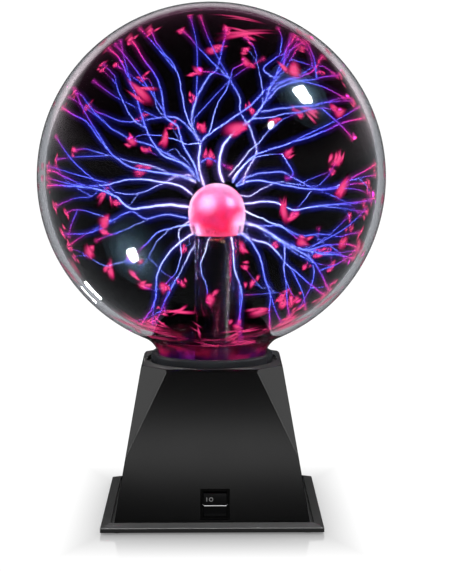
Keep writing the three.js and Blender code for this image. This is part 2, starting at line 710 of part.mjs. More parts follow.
// ---- wires inside the base ----------------------------------------------------------
// Each wire's points are chosen by hand between its two terminals.
part('hv_lead', wire([
  [-11.5, -6.8, 38], [-11.5, -9.5, 45], [-6, -9, 54], [1, -3, 60], [STEM_X, 0, 65], [STEM_X, 0, 70.6],
], 1.5, 18), SILICONE);
part('switch_lead_1', wire([
  [SWITCH_X, -30.9, 18.6], [2, -29.6, 19.4], [8, -26, 22], [16, -22, 19], [16, -20, BOARD_TOP + 0.2],
], 0.8, 14), WIRE_RED);
part('switch_lead_2', wire([
  [SWITCH_X, -31.6, 22.7], [0, -29, 24], [-8, -24, 24], [-14, -20, 20], [-14, -18, BOARD_TOP + 0.2],
], 0.8, 14), WIRE_BLACK);
part('jack_lead_1', wire([
  [0, 33.6, 19.1], [2, 31, 20], [10, 27, 22], [17, 23, 19], [17, 20, BOARD_TOP + 0.2],
], 0.8, 14), WIRE_RED);
part('jack_lead_2', wire([
  [0, 33, 23.6], [-4, 29, 26], [-12, 25, 24], [-18, 22, 20], [-18, 20, BOARD_TOP + 0.2],
], 0.8, 14), WIRE_BLACK);

export default ball;
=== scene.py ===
import json
import math
import random

import bmesh
import bpy
from mathutils import Matrix, Vector, noise

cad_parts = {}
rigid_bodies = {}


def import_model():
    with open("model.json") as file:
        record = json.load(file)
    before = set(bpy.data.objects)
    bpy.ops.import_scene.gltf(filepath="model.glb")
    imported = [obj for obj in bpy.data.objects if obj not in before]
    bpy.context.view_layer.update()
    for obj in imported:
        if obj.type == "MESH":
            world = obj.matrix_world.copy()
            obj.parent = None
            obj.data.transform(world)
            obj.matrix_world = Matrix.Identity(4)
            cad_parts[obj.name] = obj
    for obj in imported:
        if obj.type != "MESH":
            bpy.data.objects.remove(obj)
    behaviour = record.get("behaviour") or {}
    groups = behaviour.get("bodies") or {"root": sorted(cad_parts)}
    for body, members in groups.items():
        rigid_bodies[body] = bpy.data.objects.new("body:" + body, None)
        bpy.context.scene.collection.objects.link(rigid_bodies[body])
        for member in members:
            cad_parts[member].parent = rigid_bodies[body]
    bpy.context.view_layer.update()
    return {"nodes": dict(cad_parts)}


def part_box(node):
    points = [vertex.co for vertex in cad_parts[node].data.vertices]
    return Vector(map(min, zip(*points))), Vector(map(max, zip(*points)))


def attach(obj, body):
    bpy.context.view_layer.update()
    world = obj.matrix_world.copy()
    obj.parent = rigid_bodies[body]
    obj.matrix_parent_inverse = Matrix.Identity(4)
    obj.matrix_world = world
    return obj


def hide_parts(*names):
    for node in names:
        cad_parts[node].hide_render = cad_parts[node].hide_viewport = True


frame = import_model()

# A desk plasma ball. Shapes are worked out in millimetres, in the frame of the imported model
# (+Z up, the front faces -Y, the origin under the middle of the base), and a mesh is scaled
# to metres as it is made. Lights and the camera are in metres.
MM = 0.001


def span(node):
    """A CAD node's lowest and highest corners in millimetres."""
    low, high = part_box(node)
    return low / MM, high / MM


# ---- sizes, from the frame where it shows them ---------------------------------------
globe_low, globe_high = span("glass_globe")
GLOBE_R = (globe_high.x - globe_low.x) / 2
GLOBE_Z = globe_high.z - GLOBE_R
NECK_BASE_Z = globe_low.z
GLASS, NECK_R, NECK_GLASS, NECK_FILLET = 4.5, 30.6, 3.0, 16
INNER_R = GLOBE_R - GLASS

electrode_low, electrode_high = span("electrode_bulb")
STEM_X = (electrode_low.x + electrode_high.x) / 2
ELECTRODE_BASE_Z = electrode_low.z
STEM_R, STEM_GLASS, BULB_R = 13, 1.8, 15.7
BULB_Z = span("glass_stem")[1].z - BULB_R
STEM_BASE_Z, STEM_DISC = NECK_BASE_Z + 0.5, 3

sleeve_low, sleeve_high = span("ribbed_sleeve")
RIB_R, RIB_VALLEY_R, RIB_PITCH, RIB_BORE = 8, 7.1, 3.45, 1.8

housing_low, housing_high = span("base_housing")
HOUSING_Z0, HOUSING_Z1 = housing_low.z, housing_high.z
BASE_HALF, TOP_HALF = housing_high.x, 40.1
SHOULDER_DROP, SHOULDER_IN = 1.4, 0.9
APEX_Z, FACET_TOP = 40.3, 45.9
WALL, TOP_PLATE = 2.6, 4.9
RECESS_R, RECESS_DEPTH, COLLAR_HOLE_R = 37.6, 2.4, 34.3
POST_AT, POST_R, POST_TOP_Z, PILOT_R = 44.2, 4.2, 36, 1.75
FOOT_AT, STANDOFF_AT, STANDOFF_TOP_Z = 53, (34, 24), 11.7
VENT_PITCH, VENT_HALF_W, VENT_AT, VENT_HALF_L = 8, 1, 12, 7

plinth_low, plinth_high = span("plinth_plate")
PLINTH_HALF, PLINTH_Z0 = plinth_high.x, plinth_low.z
LIP_Z, RIM_Z, RIM_HALF, FLOOR_Z = 3.5, 5.4, 56.6, 3.0

collar_low, collar_high = span("neck_collar")
COLLAR_R, COLLAR_BORE_R, SKIRT_R = 35.3, 32.1, 34.0

SWITCH_X, SWITCH_Z = 1.6, 14.7
SWITCH_CUT = (16, 17)
ROCKER_W, ROCKER_R, ROCKER_PIVOT, ROCKER_RIDGE = 13.1, 7.0, -2.2, 3.5
ROCKER_TILT = math.radians(10)
JACK_Z, JACK_FLANGE_R, JACK_BARREL_R, JACK_BORE_R, JACK_DEPTH = 22, 6.8, 5.2, 3.2, 14

SLOPE = (BASE_HALF - TOP_HALF) / (HOUSING_Z1 - HOUSING_Z0)
LEAN = math.atan(SLOPE)
ROOT2 = math.sqrt(2)
CORNERS = ((-1, -1), (1, -1), (1, 1), (-1, 1))


def half_at(z):
    return TOP_HALF + SLOPE * (HOUSING_Z1 - z)


FACET_SLOPE = (ROOT2 * half_at(APEX_Z) - FACET_TOP) / (HOUSING_Z1 - APEX_Z)


def facet_at(z):
    return FACET_TOP + FACET_SLOPE * (HOUSING_Z1 - z)


# ---- finishes ------------------------------------------------------------------------
class Look:
    """A material's node tree, with a short way to add a node and join it up."""

    def __init__(self, name):
        self.material = bpy.data.materials.new(name)
        self.material.use_nodes = True
        self.tree = self.material.node_tree
        self.tree.nodes.clear()
        self.output = self.node("ShaderNodeOutputMaterial")
        self.place = self.node("ShaderNodeTexCoord").outputs["Object"]

    def node(self, kind, values=None, **settings):
        made = self.tree.nodes.new(kind)
        for key, value in settings.items():
            setattr(made, key, value)
        for socket, value in (values or {}).items():
            if isinstance(value, bpy.types.NodeSocket):
                self.tree.links.new(value, made.inputs[socket])
            else:
                made.inputs[socket].default_value = value
        return made

    def noise(self, size, detail=2.0, place=None):
        """Soft noise from 0 to 1 whose features are about `size` millimetres across."""
        values = {"Vector": place or self.place, "Scale": 1 / (size * MM), "Detail": detail}
        return self.node("ShaderNodeTexNoise", values).outputs["Fac"]

    def fit(self, value, low, high, to_low, to_high):
        values = {"Value": value, "From Min": low, "From Max": high, "To Min": to_low, "To Max": to_high}
        return self.node("ShaderNodeMapRange", values).outputs["Result"]

    def math(self, operation, a, b=0.5):
        return self.node("ShaderNodeMath", {0: a, 1: b}, operation=operation).outputs[0]

    def ramp(self, value, stops):
        made = self.node("ShaderNodeValToRGB", {"Fac": value})
        points = made.color_ramp.elements
        while len(points) < len(stops):
            points.new(0.5)
        for element, (at, colour) in zip(points, stops):
            element.position = at
            element.color = (*colour, 1)
        return made.outputs["Color"]

    def mix(self, share, a, b):
        values = {0: share, 6: a, 7: b}
        return self.node("ShaderNodeMix", values, data_type="RGBA").outputs[2]

    def bump(self, height, depth, strength=1.0):
        values = {"Height": height, "Distance": depth * MM, "Strength": strength}
        return self.node("ShaderNodeBump", values).outputs["Normal"]

    def principled(self, **values):
        named = {key.replace("_", " "): value for key, value in values.items()}
        return self.node("ShaderNodeBsdfPrincipled", named).outputs[0]

    def part(self, vector, axis):
        return self.node("ShaderNodeSeparateXYZ", {"Vector": vector}).outputs[axis]

    def show(self, shader):
        self.tree.links.new(shader, self.output.inputs["Surface"])
        return self.material

    def show_part(self, share, shader):
        """Shows a shader on that share of the surface, and leaves the rest clear."""
        clear = self.node("ShaderNodeBsdfTransparent").outputs[0]
        return self.show(self.node("ShaderNodeMixShader", {0: share, 1: clear, 2: shader}).outputs[0])


def tone(colour, share):
    return (*(c * share for c in colour), 1)


def moulded(name, colour, rough, grain=0.35, depth=0.004, spread=0.02, top=None):
    """Moulded plastic or rubber: a fine grain, and slow changes in colour and gloss. Faces that look
    up may be more matt."""
    look = Look(name)
    slow = look.noise(40, 2)
    base = look.mix(slow, tone(colour, 0.9), tone(colour, 1.1))
    gloss = look.fit(look.noise(25, 3), 0.25, 0.75, rough - spread, rough + spread)
    if top:
        up = look.part(look.node("ShaderNodeNewGeometry").outputs["Normal"], "Z")
        gloss = look.math("MAXIMUM", gloss, look.fit(up, 0.75, 0.95, 0.0, top))
    normal = look.bump(look.noise(grain, 2), depth)
    return look.show(look.principled(Base_Color=base, Roughness=gloss, Normal=normal, IOR=1.48))


def metal(name, colour, rough, along=(1, 1, 0.06)):
    """Bare metal with fine lines drawn along one direction."""
    look = Look(name)
    drawn = look.node("ShaderNodeMapping", {"Vector": look.place, "Scale": along}).outputs[0]
    lines = look.noise(0.4, 3, drawn)
    base = look.mix(look.noise(6), tone(colour, 0.8), tone(colour, 1.05))
    gloss = look.fit(lines, 0.3, 0.7, rough - 0.06, rough + 0.1)
    normal = look.bump(lines, 0.01)
    return look.show(look.principled(Base_Color=base, Roughness=gloss, Metallic=1.0, Normal=normal))


def clear_glass(name, ior, wave, rough=0.0, coat=0.0):
    """Blown glass with a faint slow wave in its thickness."""
    look = Look(name)
    normal = look.bump(look.noise(wave, 1), 0.02)
    shader = look.principled(
        Base_Color=(1, 1, 1, 1),
        Roughness=rough,
        IOR=ior,
        Transmission_Weight=1.0,
        Normal=normal,
        Coat_Weight=coat,
        Coat_IOR=1.1,
        Coat_Roughness=0.03,
    )
    return look.show(shader)


def board_green(name):
    """Solder mask over copper traces."""
    look = Look(name)
    bricks = look.node(
        "ShaderNodeTexBrick",
        {"Vector": look.place, "Scale": 180.0, "Mortar Size": 0.06, "Brick Width": 0.9, "Row Height": 0.35},
    )
    traces = bricks.outputs["Fac"]
    base = look.mix(traces, (0.012, 0.09, 0.03, 1), (0.03, 0.2, 0.07, 1))
    normal = look.bump(traces, 0.03)
    return look.show(look.principled(Base_Color=base, Roughness=0.35, Normal=normal, Coat_Weight=0.4))


def wound_wire(name, colour):
    """Enamelled wire in close turns about Z."""
    look = Look(name)
    turns = look.node(
        "ShaderNodeTexWave", {"Vector": look.place, "Scale": 900.0, "Distortion": 0.4}, bands_direction="Z"
    ).outputs["Fac"]
    # painted shade: the colour is darker in the grooves between the turns and lighter on their crowns
    base = look.mix(turns, tone(colour, 0.45), tone(colour, 1.1))
    normal = look.bump(turns, 0.12)
    return look.show(look.principled(Base_Color=base, Roughness=0.3, Metallic=0.8, Normal=normal))


# A see-through shell of painted shade, standing in for a dark surround, passes this share of the light
# at its edge, so that the globe looks dark inside. What glows inside is stronger by the same factor.
SHADE_SHELL_CLEAR = 0.045
LIFT = 1 / SHADE_SHELL_CLEAR


def dark_tint_look(name):
    """Painted shade: a see-through tint with slow changes, which darkens all that is seen through it."""
    look = Look(name)
    tint = look.ramp(look.noise(60, 1), ((0.3, (SHADE_SHELL_CLEAR * 0.92,) * 3), (0.7, (SHADE_SHELL_CLEAR * 1.08,) * 3)))
    return look.show(look.node("ShaderNodeBsdfTransparent", {"Color": tint}).outputs[0])


BLACK = (0, 0, 0, 1)


def glow(look, colour, strength):
    """A surface that only gives light."""
    return look.principled(
        Base_Color=BLACK,
        Roughness=1.0,
        Specular_IOR_Level=0.0,
        Emission_Color=colour,
        Emission_Strength=strength,
    )


# Colours of the discharge from the electrode (0) to the glass (1).
DISCHARGE = (
    (0.0, (1.0, 0.85, 1.0)),
    (0.06, (0.75, 0.80, 1.0)),
    (0.25, (0.42, 0.52, 1.0)),
    (0.50, (0.15, 0.22, 1.0)),
    (0.68, (0.12, 0.08, 0.85)),
    (0.80, (0.40, 0.04, 0.55)),
    (0.90, (0.85, 0.04, 0.26)),
    (1.0, (1.0, 0.06, 0.22)),
)
HAZE = (
    (0.0, (0.35, 0.20, 0.95)),
    (0.2, (0.05, 0.07, 0.85)),
    (0.6, (0.04, 0.03, 0.70)),
    (0.85, (0.45, 0.02, 0.40)),
    (1.0, (0.80, 0.03, 0.22)),
)
FLAME = (
    (0.0, (0.40, 0.005, 0.12)),
    (0.4, (0.85, 0.02, 0.18)),
    (1.0, (1.0, 0.09, 0.28)),
)


def discharge(name, colours, strength, cover, edge):
    """Glowing gas. Its points say how far out it is (`reach`) and how strong (`fade`). A tube is
    thickest in the middle, so its glow falls off to its sides by the power `edge`."""
    look = Look(name)
    reach = look.node("ShaderNodeAttribute", attribute_name="reach").outputs["Fac"]
    fade = look.node("ShaderNodeAttribute", attribute_name="fade").outputs["Fac"]
    flicker = look.fit(look.noise(7, 2), 0.3, 0.7, -0.04, 0.04)
    lit = glow(look, look.ramp(look.math("ADD", reach, flicker), colours), strength)
    share = look.math("MULTIPLY", fade, cover)
    if edge:
        facing = look.node("ShaderNodeLayerWeight", {"Blend": 0.5}).outputs["Facing"]
        middle = look.math("POWER", look.math("SUBTRACT", 1.0, facing), edge)
        share = look.math("MULTIPLY", share, middle)
    return look.show_part(share, lit)


# Where the discharge leaves the electrode most strongly: (x, y, z) in millimetres from the middle
# of its ball, and how far the white-violet spot reaches.
HOT_SPOTS = (
    ((-5, -11, 6.5), 9.0),
    ((7.5, -9.5, 6), 5.0),
    ((11, -6, -6), 8.5),
    ((-11, -7, -10), 7.0),
    ((8, 10, 6), 7.5),
    ((-4, 12, -3), 8.0),
    ((-11, 6, 2), 7.0),
    ((1, 2, 13.5), 7.0),
)


def electrode_glow(name):
    look = Look(name)
    height = look.part(look.place, "Z")
    cloudy = look.fit(look.noise(11, 2), 0.3, 0.7, -0.22, 0.22)
    up = look.fit(height, ELECTRODE_BASE_Z * MM, (BULB_Z + BULB_R) * MM, 0.0, 1.0)
    colour = look.ramp(
        look.math("ADD", up, cloudy),
        (
            (0.0, (1.0, 0.07, 0.22)),
            (0.2, (1.0, 0.015, 0.09)),
            (0.6, (1.0, 0.06, 0.27)),
            (1.0, (1.0, 0.25, 0.60)),
        ),
    )
    heat = 0.0
    for (x, y, z), size in HOT_SPOTS:
        at = Vector((STEM_X + x, y, BULB_Z + z)) * MM
        apart = look.node("ShaderNodeVectorMath", {0: look.place, 1: at}, operation="DISTANCE")
        away = apart.outputs["Value"]
        near = look.math("POWER", look.fit(away, 0.0, size * MM, 1.0, 0.0), 1.3)
        colour = look.mix(near, colour, (1.0, 0.55, 1.0, 1))
        heat = look.math("MAXIMUM", near, heat)
    return look.show(glow(look, colour, look.fit(heat, 0.0, 1.0, 1.0 * LIFT, 1.9 * LIFT)))


def corona(name):
    """The thin sheath of gas that hugs the bulb: it is bright where it is seen along its length."""
    look = Look(name)
    facing = look.node("ShaderNodeLayerWeight", {"Blend": 0.5}).outputs["Facing"]
    share = look.math("MULTIPLY", look.math("POWER", facing, 3.0), 0.85)
    colour = look.ramp(look.noise(9, 1), ((0.35, (1.0, 0.22, 0.50)), (0.65, (1.0, 0.65, 0.95))))
    return look.show_part(share, glow(look, colour, 1.8 * LIFT))


def pooled_glow(name):
    """Light that gathers low in the globe: red above its neck and violet in the neck."""
    look = Look(name)
    swirl = look.noise(17, 2)
    height = look.part(look.place, "Z")
    level = look.fit(height, (NECK_BASE_Z + 14) * MM, (NECK_BASE_Z + 34) * MM, 0.0, 1.0)
    colour = look.ramp(
        look.math("ADD", level, look.fit(swirl, 0.35, 0.65, -0.2, 0.2)),
        (
            (0.0, (0.10, 0.02, 0.38)),
            (0.3, (0.30, 0.01, 0.25)),
            (0.5, (0.90, 0.02, 0.14)),
            (1.0, (0.9, 0.03, 0.2)),
        ),
    )
    patchy = look.fit(swirl, 0.5, 0.7, 0.02, 0.2)
    share = look.math("MULTIPLY", patchy, look.fit(level, 0.3, 0.75, 1.0, 0.0))
    return look.show_part(share, glow(look, colour, 0.9 * LIFT))


HOUSING_TINT = (0.003, 0.003, 0.0031)
HOUSING = moulded("gloss_black_housing", HOUSING_TINT, 0.11, grain=0.8, depth=0.0003, spread=0.004, top=0.8)
PLINTH = moulded("satin_black_plinth", (0.012, 0.012, 0.012), 0.42, grain=0.4, depth=0.003)
SWITCH_FRAME_LOOK = moulded("switch_frame_black", (0.001, 0.001, 0.001), 0.6, grain=0.4, depth=0.004)
COLLAR = moulded("gloss_grey_collar", (0.04, 0.043, 0.05), 0.24, grain=0.8, depth=0.0006, spread=0.01)
SWITCH = moulded("switch_black", (0.0015, 0.0015, 0.0016), 0.06, grain=0.4, depth=0.0002, spread=0.003)
MARKING = moulded("marking_grey", (0.35, 0.35, 0.35), 0.5)
RUBBER = moulded("rubber_black", (0.012, 0.012, 0.012), 0.8, grain=0.4, depth=0.03)
SILICONE = moulded("silicone_white", (0.7, 0.7, 0.67), 0.5, grain=0.8, depth=0.01)
RIBBED = moulded("ribbed_black", (0.004, 0.004, 0.005), 0.2, grain=0.5, depth=0.002)
FERRITE = moulded("ferrite_grey", (0.045, 0.045, 0.05), 0.7, grain=0.3, depth=0.03)
CAN_SLEEVE = moulded("capacitor_blue", (0.012, 0.028, 0.13), 0.3)
RED_FILM = moulded("dipped_red", (0.4, 0.025, 0.02), 0.28, grain=1.5, depth=0.02)
WIRE_RED = moulded("wire_red_pvc", (0.36, 0.018, 0.018), 0.45)
WIRE_BLACK = moulded("wire_black_pvc", (0.012, 0.012, 0.012), 0.45)
STEEL = metal("zinc_steel", (0.6, 0.61, 0.63), 0.3)
BRASS = metal("bright_brass", (0.72, 0.5, 0.2), 0.28)
ALUMINIUM = metal("extruded_aluminium", (0.7, 0.71, 0.72), 0.38)
COPPER = wound_wire("enamelled_copper", (0.7, 0.28, 0.12))
BOARD = board_green("solder_mask")
GLOBE_GLASS = clear_glass("globe_glass_clear", 1.1, 70, coat=1.0)
STEM_GLASS_LOOK = clear_glass("stem_glass_clear", 1.34, 25, 0.04)
# the tint of the shell of painted shade that darkens the globe's inside
DARK_TINT = dark_tint_look("dark_gas_fill")
ELECTRODE = electrode_glow("electrode_pink_glow")
CORONA = corona("electrode_sheath")
CORE = discharge("streamer_core_glow", DISCHARGE, 2.2 * LIFT, 1.0, 0.6)
HALO = discharge("streamer_halo_glow", HAZE, 0.9 * LIFT, 0.34, 2.0)
MIST = discharge("streamer_mist_glow", HAZE, 0.6 * LIFT, 0.075, 2.0)
POOL = pooled_glow("neck_pool_glow")
FOOT = discharge("streamer_foot_glow", FLAME, 1.05 * LIFT, 0.85, 0)
# painted glow inside the glass wall, where a foot's light shows through the glass
GLASS_GLOW_PAINT = discharge("streamer_painted_glass_glow", FLAME, 0.8, 0.3, 0)
for lit in (ELECTRODE, CORONA, CORE, HALO, MIST, FOOT, GLASS_GLOW_PAINT, POOL):
    lit.cycles.emission_sampling = "NONE"

# The CAD nodes that keep their own shape, and their finishes.
KEPT = (
    (HOUSING, ("collar_nut",)),
    (SILICONE, ("neck_adhesive",)),
    (BRASS, ("contact_rod", "switch_plunger", "switch_contact", "dc_jack_pin")),
    (BRASS, ("switch_terminal_common", "switch_terminal_load")),
    (STEEL, ("contact_spring", "plunger_spring", "dc_jack_nut", "dc_jack_leaf", "transistor_screw")),
    (STEEL, tuple(f"{kind}_screw_{i}" for kind in ("plinth", "board") for i in range(1, 5))),
    (RUBBER, ("stem_plug", "hv_lead")),
    (BOARD, ("driver_board",)),
    (FERRITE, ("ferrite_core_lower", "ferrite_core_upper")),
    (SWITCH, ("coil_bobbin", "power_transistor")),
    (SWITCH_FRAME_LOOK, ("switch_body",)),
    (COPPER, ("secondary_winding", "primary_winding")),
    (ALUMINIUM, ("heatsink",)),
    (CAN_SLEEVE, ("filter_capacitor",)),
    (RED_FILM, ("tuning_capacitor",)),
    (WIRE_RED, ("switch_lead_1", "jack_lead_1")),
    (WIRE_BLACK, ("switch_lead_2", "jack_lead_2")),
)
for finish, nodes in KEPT:
    for node in nodes:
        for material_slot in frame["nodes"][node].material_slots:
            material_slot.material = finish


# ---- mesh helpers --------------------------------------------------------------------
def lathe(profile, sides=96, at=(0, 0)):
    """A closed shape turned about a vertical axis from (radius, height) pairs."""
    bm = bmesh.new()
    cx, cy = at
    turns = [2 * math.pi * i / sides for i in range(sides)]
    rings = []
    for r, z in profile:
        if r < 1e-6:
            rings.append([bm.verts.new((cx, cy, z))])
        else:
            ring = [(cx + r * math.cos(a), cy + r * math.sin(a), z) for a in turns]
            rings.append([bm.verts.new(p) for p in ring])
    pairs = list(zip(rings, rings[1:]))
    if len(rings[0]) > 1:
        pairs.append((rings[-1], rings[0]))
    for low, high in pairs:
        for i in range(sides):
            j = (i + 1) % sides
            corners = (low[i % len(low)], low[j % len(low)], high[j % len(high)], high[i % len(high)])
            distinct = list(dict.fromkeys(corners))
            if len(distinct) > 2:
                bm.faces.new(distinct)
    bmesh.ops.recalc_face_normals(bm, faces=bm.faces)
    return bm


def hull(points):
    """The convex solid round some points, with flat faces kept whole."""
    bm = bmesh.new()
    for p in points:
        bm.verts.new(p)
    bmesh.ops.convex_hull(bm, input=bm.verts)
    bmesh.ops.delete(bm, geom=[v for v in bm.verts if not v.link_faces], context="VERTS")
    bmesh.ops.dissolve_limit(bm, angle_limit=math.radians(0.5), verts=bm.verts, edges=bm.edges)
    bmesh.ops.recalc_face_normals(bm, faces=bm.faces)
    return bm


def block(low, high):
    return hull([(x, y, z) for x in (low[0], high[0]) for y in (low[1], high[1]) for z in (low[2], high[2])])


def rod(r, z0, z1, at=(0, 0), sides=48):
    return lathe([(0, z0), (r, z0), (r, z1), (0, z1)], sides, at)


def prism(outline, width):
    """A flat outline in the (Y, Z) plane, carried along X and centred on x = 0."""
    bm = bmesh.new()
    ends = [[bm.verts.new((x, y, z)) for y, z in outline] for x in (-width / 2, width / 2)]
    bm.faces.new(ends[0])
    bm.faces.new(ends[1])
    for i in range(len(outline)):
        j = (i + 1) % len(outline)
        bm.faces.new((ends[0][i], ends[0][j], ends[1][j], ends[1][i]))
    bmesh.ops.recalc_face_normals(bm, faces=bm.faces)
    return bm


def moved(bm, matrix):
    bm.transform(matrix)
    return bm


def make(name, bm, finish, smooth_angle=35):
    """An object from a shape in millimetres."""
    bm.transform(Matrix.Scale(MM, 4))
    mesh = bpy.data.meshes.new(name)
    bm.to_mesh(mesh)
    bm.free()
    mesh.materials.append(finish)
    smooth(mesh, smooth_angle)
    made = bpy.data.objects.new(name, mesh)
    bpy.context.scene.collection.objects.link(made)
    return made


def smooth(mesh, angle):
    mesh.shade_smooth()
    mesh.set_sharp_from_angle(angle=math.radians(angle))


def settle(made):
    """Applies the object's modifiers to its mesh."""
    mesh = bpy.data.meshes.new_from_object(made.evaluated_get(bpy.context.evaluated_depsgraph_get()))
    made.modifiers.clear()
    made.data = mesh


def rounded(made, width, segments=3):
    bevel = made.modifiers.new("edges", "BEVEL")
    bevel.width = width * MM
    bevel.segments = segments
    bevel.limit_method = "ANGLE"
    bevel.angle_limit = math.radians(15)
    settle(made)
    return made


def joined(made, shapes, operation="DIFFERENCE"):
    """Cuts or adds each shape."""
    tools = []
    for bm in shapes:
        tool = make("tool", bm, made.data.materials[0])
        tools.append(tool)
        boolean = made.modifiers.new("join", "BOOLEAN")
        boolean.operation = operation
        boolean.solver = "EXACT"
        boolean.object = tool
    settle(made)
    for tool in tools:
        bpy.data.objects.remove(tool)
    return made


def flat_shaded(made, angle=35):
    """Keeps broad faces flat next to small rounded edges."""
    smooth(made.data, angle)
    weighted = made.modifiers.new("normals", "WEIGHTED_NORMAL")
    weighted.keep_sharp = True
    weighted.weight = 100
    settle(made)
    return made


def placed(made, body="base", replaces=()):
    """Gives a piece its body, and hides the CAD nodes that it stands for."""
    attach(made, body)
    if replaces:
        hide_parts(*replaces)
    return made


def arc(cx, cz, radius, start, end, steps):
    turns = [start + (end - start) * i / steps for i in range(steps + 1)]
    return [(cx + radius * math.cos(a), cz + radius * math.sin(a)) for a in turns]


def square(half, z):
    return [(sx * half, sy * half, z) for sx, sy in CORNERS]


def octagon(half, facet, z):
    edge = ROOT2 * facet - half
    return [p for sx, sy in CORNERS for p in ((sx * half, sy * edge, z), (sx * edge, sy * half, z))]


def front_frame(x, z):
    """A frame on the front wall: X to the right, Y up the wall, Z out of it."""
    return Matrix.Translation((x, -half_at(z), z)) @ Matrix.Rotation(math.pi / 2 - LEAN, 4, "X")


SWITCH_FRAME = front_frame(SWITCH_X, SWITCH_Z)
JACK_FRAME = Matrix.Rotation(math.pi, 4, "Z") @ front_frame(0, JACK_Z)


# ---- base ----------------------------------------------------------------------------
def pyramid(z0, z1, inset):
    """The housing's outside, or the hollow that many millimetres inside it."""
    excess = ROOT2 * (half_at(APEX_Z) - inset) - (facet_at(APEX_Z) - inset)
    apex = APEX_Z - excess / (FACET_SLOPE - ROOT2 * SLOPE)
    points = square(half_at(z0) - inset, z0) + square(half_at(apex) - inset, apex)
    if inset:
        return hull(points + octagon(half_at(z1) - inset, facet_at(z1) - inset, z1))
    shoulder = z1 - SHOULDER_DROP
    points += octagon(half_at(shoulder), facet_at(shoulder), shoulder)
    return hull(points + octagon(half_at(z1) - SHOULDER_IN, facet_at(z1), z1))


def housing():
    made = rounded(make("housing_shell", pyramid(HOUSING_Z0, HOUSING_Z1, 0), HOUSING), 0.45)
    joined(made, [pyramid(HOUSING_Z0 - 1, HOUSING_Z1 - TOP_PLATE, WALL)])
    posts = [rod(POST_R, 6.3, POST_TOP_Z, (sx * POST_AT, sy * POST_AT), 24) for sx, sy in CORNERS]
    joined(made, posts, "UNION")
    recess_z = HOUSING_Z1 - RECESS_DEPTH
    edge = 0.5
    recess = [
        (0, recess_z),
        (RECESS_R, recess_z),
        (RECESS_R, HOUSING_Z1 - edge),
        (RECESS_R + edge + 1, HOUSING_Z1 + 1),
        (0, HOUSING_Z1 + 1),
    ]
    w, h = SWITCH_CUT[0] / 2, SWITCH_CUT[1] / 2
    window = block((-w, -h, -6), (w, h, 6))
    flare = hull([(x * (w + s), y * (h + s), s - 0.15) for x in (-1, 1) for y in (-1, 1) for s in (0, 2)])
    cuts = [
        lathe(recess, 144),
        rod(COLLAR_HOLE_R, HOUSING_Z1 - TOP_PLATE - 1, HOUSING_Z1, sides=96),
        moved(window, SWITCH_FRAME),
        moved(flare, SWITCH_FRAME),
        moved(rod(JACK_BARREL_R + 0.3, -6, 6), JACK_FRAME),
    ]
    cuts += [rod(PILOT_R, 5, 22, (sx * POST_AT, sy * POST_AT), 16) for sx, sy in CORNERS]
    return flat_shaded(joined(made, cuts))


def plinth():
    points = square(PLINTH_HALF, PLINTH_Z0) + square(PLINTH_HALF, LIP_Z) + square(RIM_HALF, RIM_Z)
    made = rounded(make("plinth_tray", hull(points), PLINTH), 0.35)
    joined(made, [block((-RIM_HALF, -RIM_HALF, FLOOR_Z), (RIM_HALF, RIM_HALF, RIM_Z + 1))])
    adds, cuts = [], []
    for sx, sy in CORNERS:
        places = ((POST_AT, POST_AT), STANDOFF_AT, (FOOT_AT, FOOT_AT))
        post, standoff, foot = [(sx * a, sy * b) for a, b in places]
        adds += [rod(5, FLOOR_Z - 1, 6, post, 24), rod(3, FLOOR_Z - 1, STANDOFF_TOP_Z, standoff, 24)]
        cuts += [rod(3.2, 0, 4, post, 24), rod(PILOT_R, 0, 7, post, 16)]
        cuts += [rod(1.4, 4, 13, standoff, 16), rod(6.3, 0, 2, foot, 32)]
    for i in range(-2, 3):
        x0, x1 = i * VENT_PITCH - VENT_HALF_W, i * VENT_PITCH + VENT_HALF_W
        for y in (-VENT_AT, VENT_AT):
            cuts.append(block((x0, y - VENT_HALF_L, 0), (x1, y + VENT_HALF_L, 6)))
    return flat_shaded(joined(joined(made, adds, "UNION"), cuts))


placed(housing(), replaces=["base_housing"])
placed(plinth(), replaces=["plinth_plate"])
for i in range(1, 5):
    low, high = span(f"rubber_foot_{i}")
    r, centre = (high.x - low.x) / 2, ((low.x + high.x) / 2, (low.y + high.y) / 2)
    edge = [(r - 0.5, low.z), (r - 0.15, low.z + 0.15), (r, low.z + 0.5)]
    profile = [(0, low.z), *edge, (r, high.z), (0, high.z)]
    pad = make(f"foot_pad_{i}", lathe(profile, 48, centre), RUBBER)
    placed(pad, replaces=[f"rubber_foot_{i}"])


# ---- switch and power inlet ----------------------------------------------------------
def rocker():
    slope = math.tan(ROCKER_TILT)
    k = 1 + slope * slope
    reach = (ROCKER_RIDGE * slope + math.sqrt(k * ROCKER_R**2 - ROCKER_RIDGE**2)) / k
    edge = math.atan2(ROCKER_RIDGE - slope * reach, reach)
    low = -0.36  # where the round ends stop, as an angle below the pivot's level
    outline = arc(0, 0, ROCKER_R, low, edge, 12) + [(0, ROCKER_RIDGE)]
    outline += arc(0, 0, ROCKER_R, math.pi - edge, math.pi - low, 12)
    made = rounded(make("rocker_cap", prism(outline, ROCKER_W), SWITCH), 0.3)
    turn = Matrix.Rotation(math.pi / 2, 4, "Y")
    stem = block((-2.2, -2.2, -7.2), (2.2, 2.2, 0))
    joined(made, [moved(rod(0.9, -7.5, 7.5, sides=24), turn), stem], "UNION")
    joined(made, [rod(1.5, -9, -2, sides=24)])
    return flat_shaded(made)


ROCKER_FRAME = SWITCH_FRAME @ Matrix.Translation((0, 0, ROCKER_PIVOT)) @ Matrix.Rotation(ROCKER_TILT, 4, "X")


def mark(name, bm, x):
    """A small inlay on the rocker's upper half, flush with its sloping face."""
    y = 3.4
    height = ROCKER_RIDGE - y * math.tan(ROCKER_TILT)
    on_face = Matrix.Translation((x, y, height)) @ Matrix.Rotation(-ROCKER_TILT, 4, "X")
    return make(name, moved(bm, ROCKER_FRAME @ on_face), MARKING)


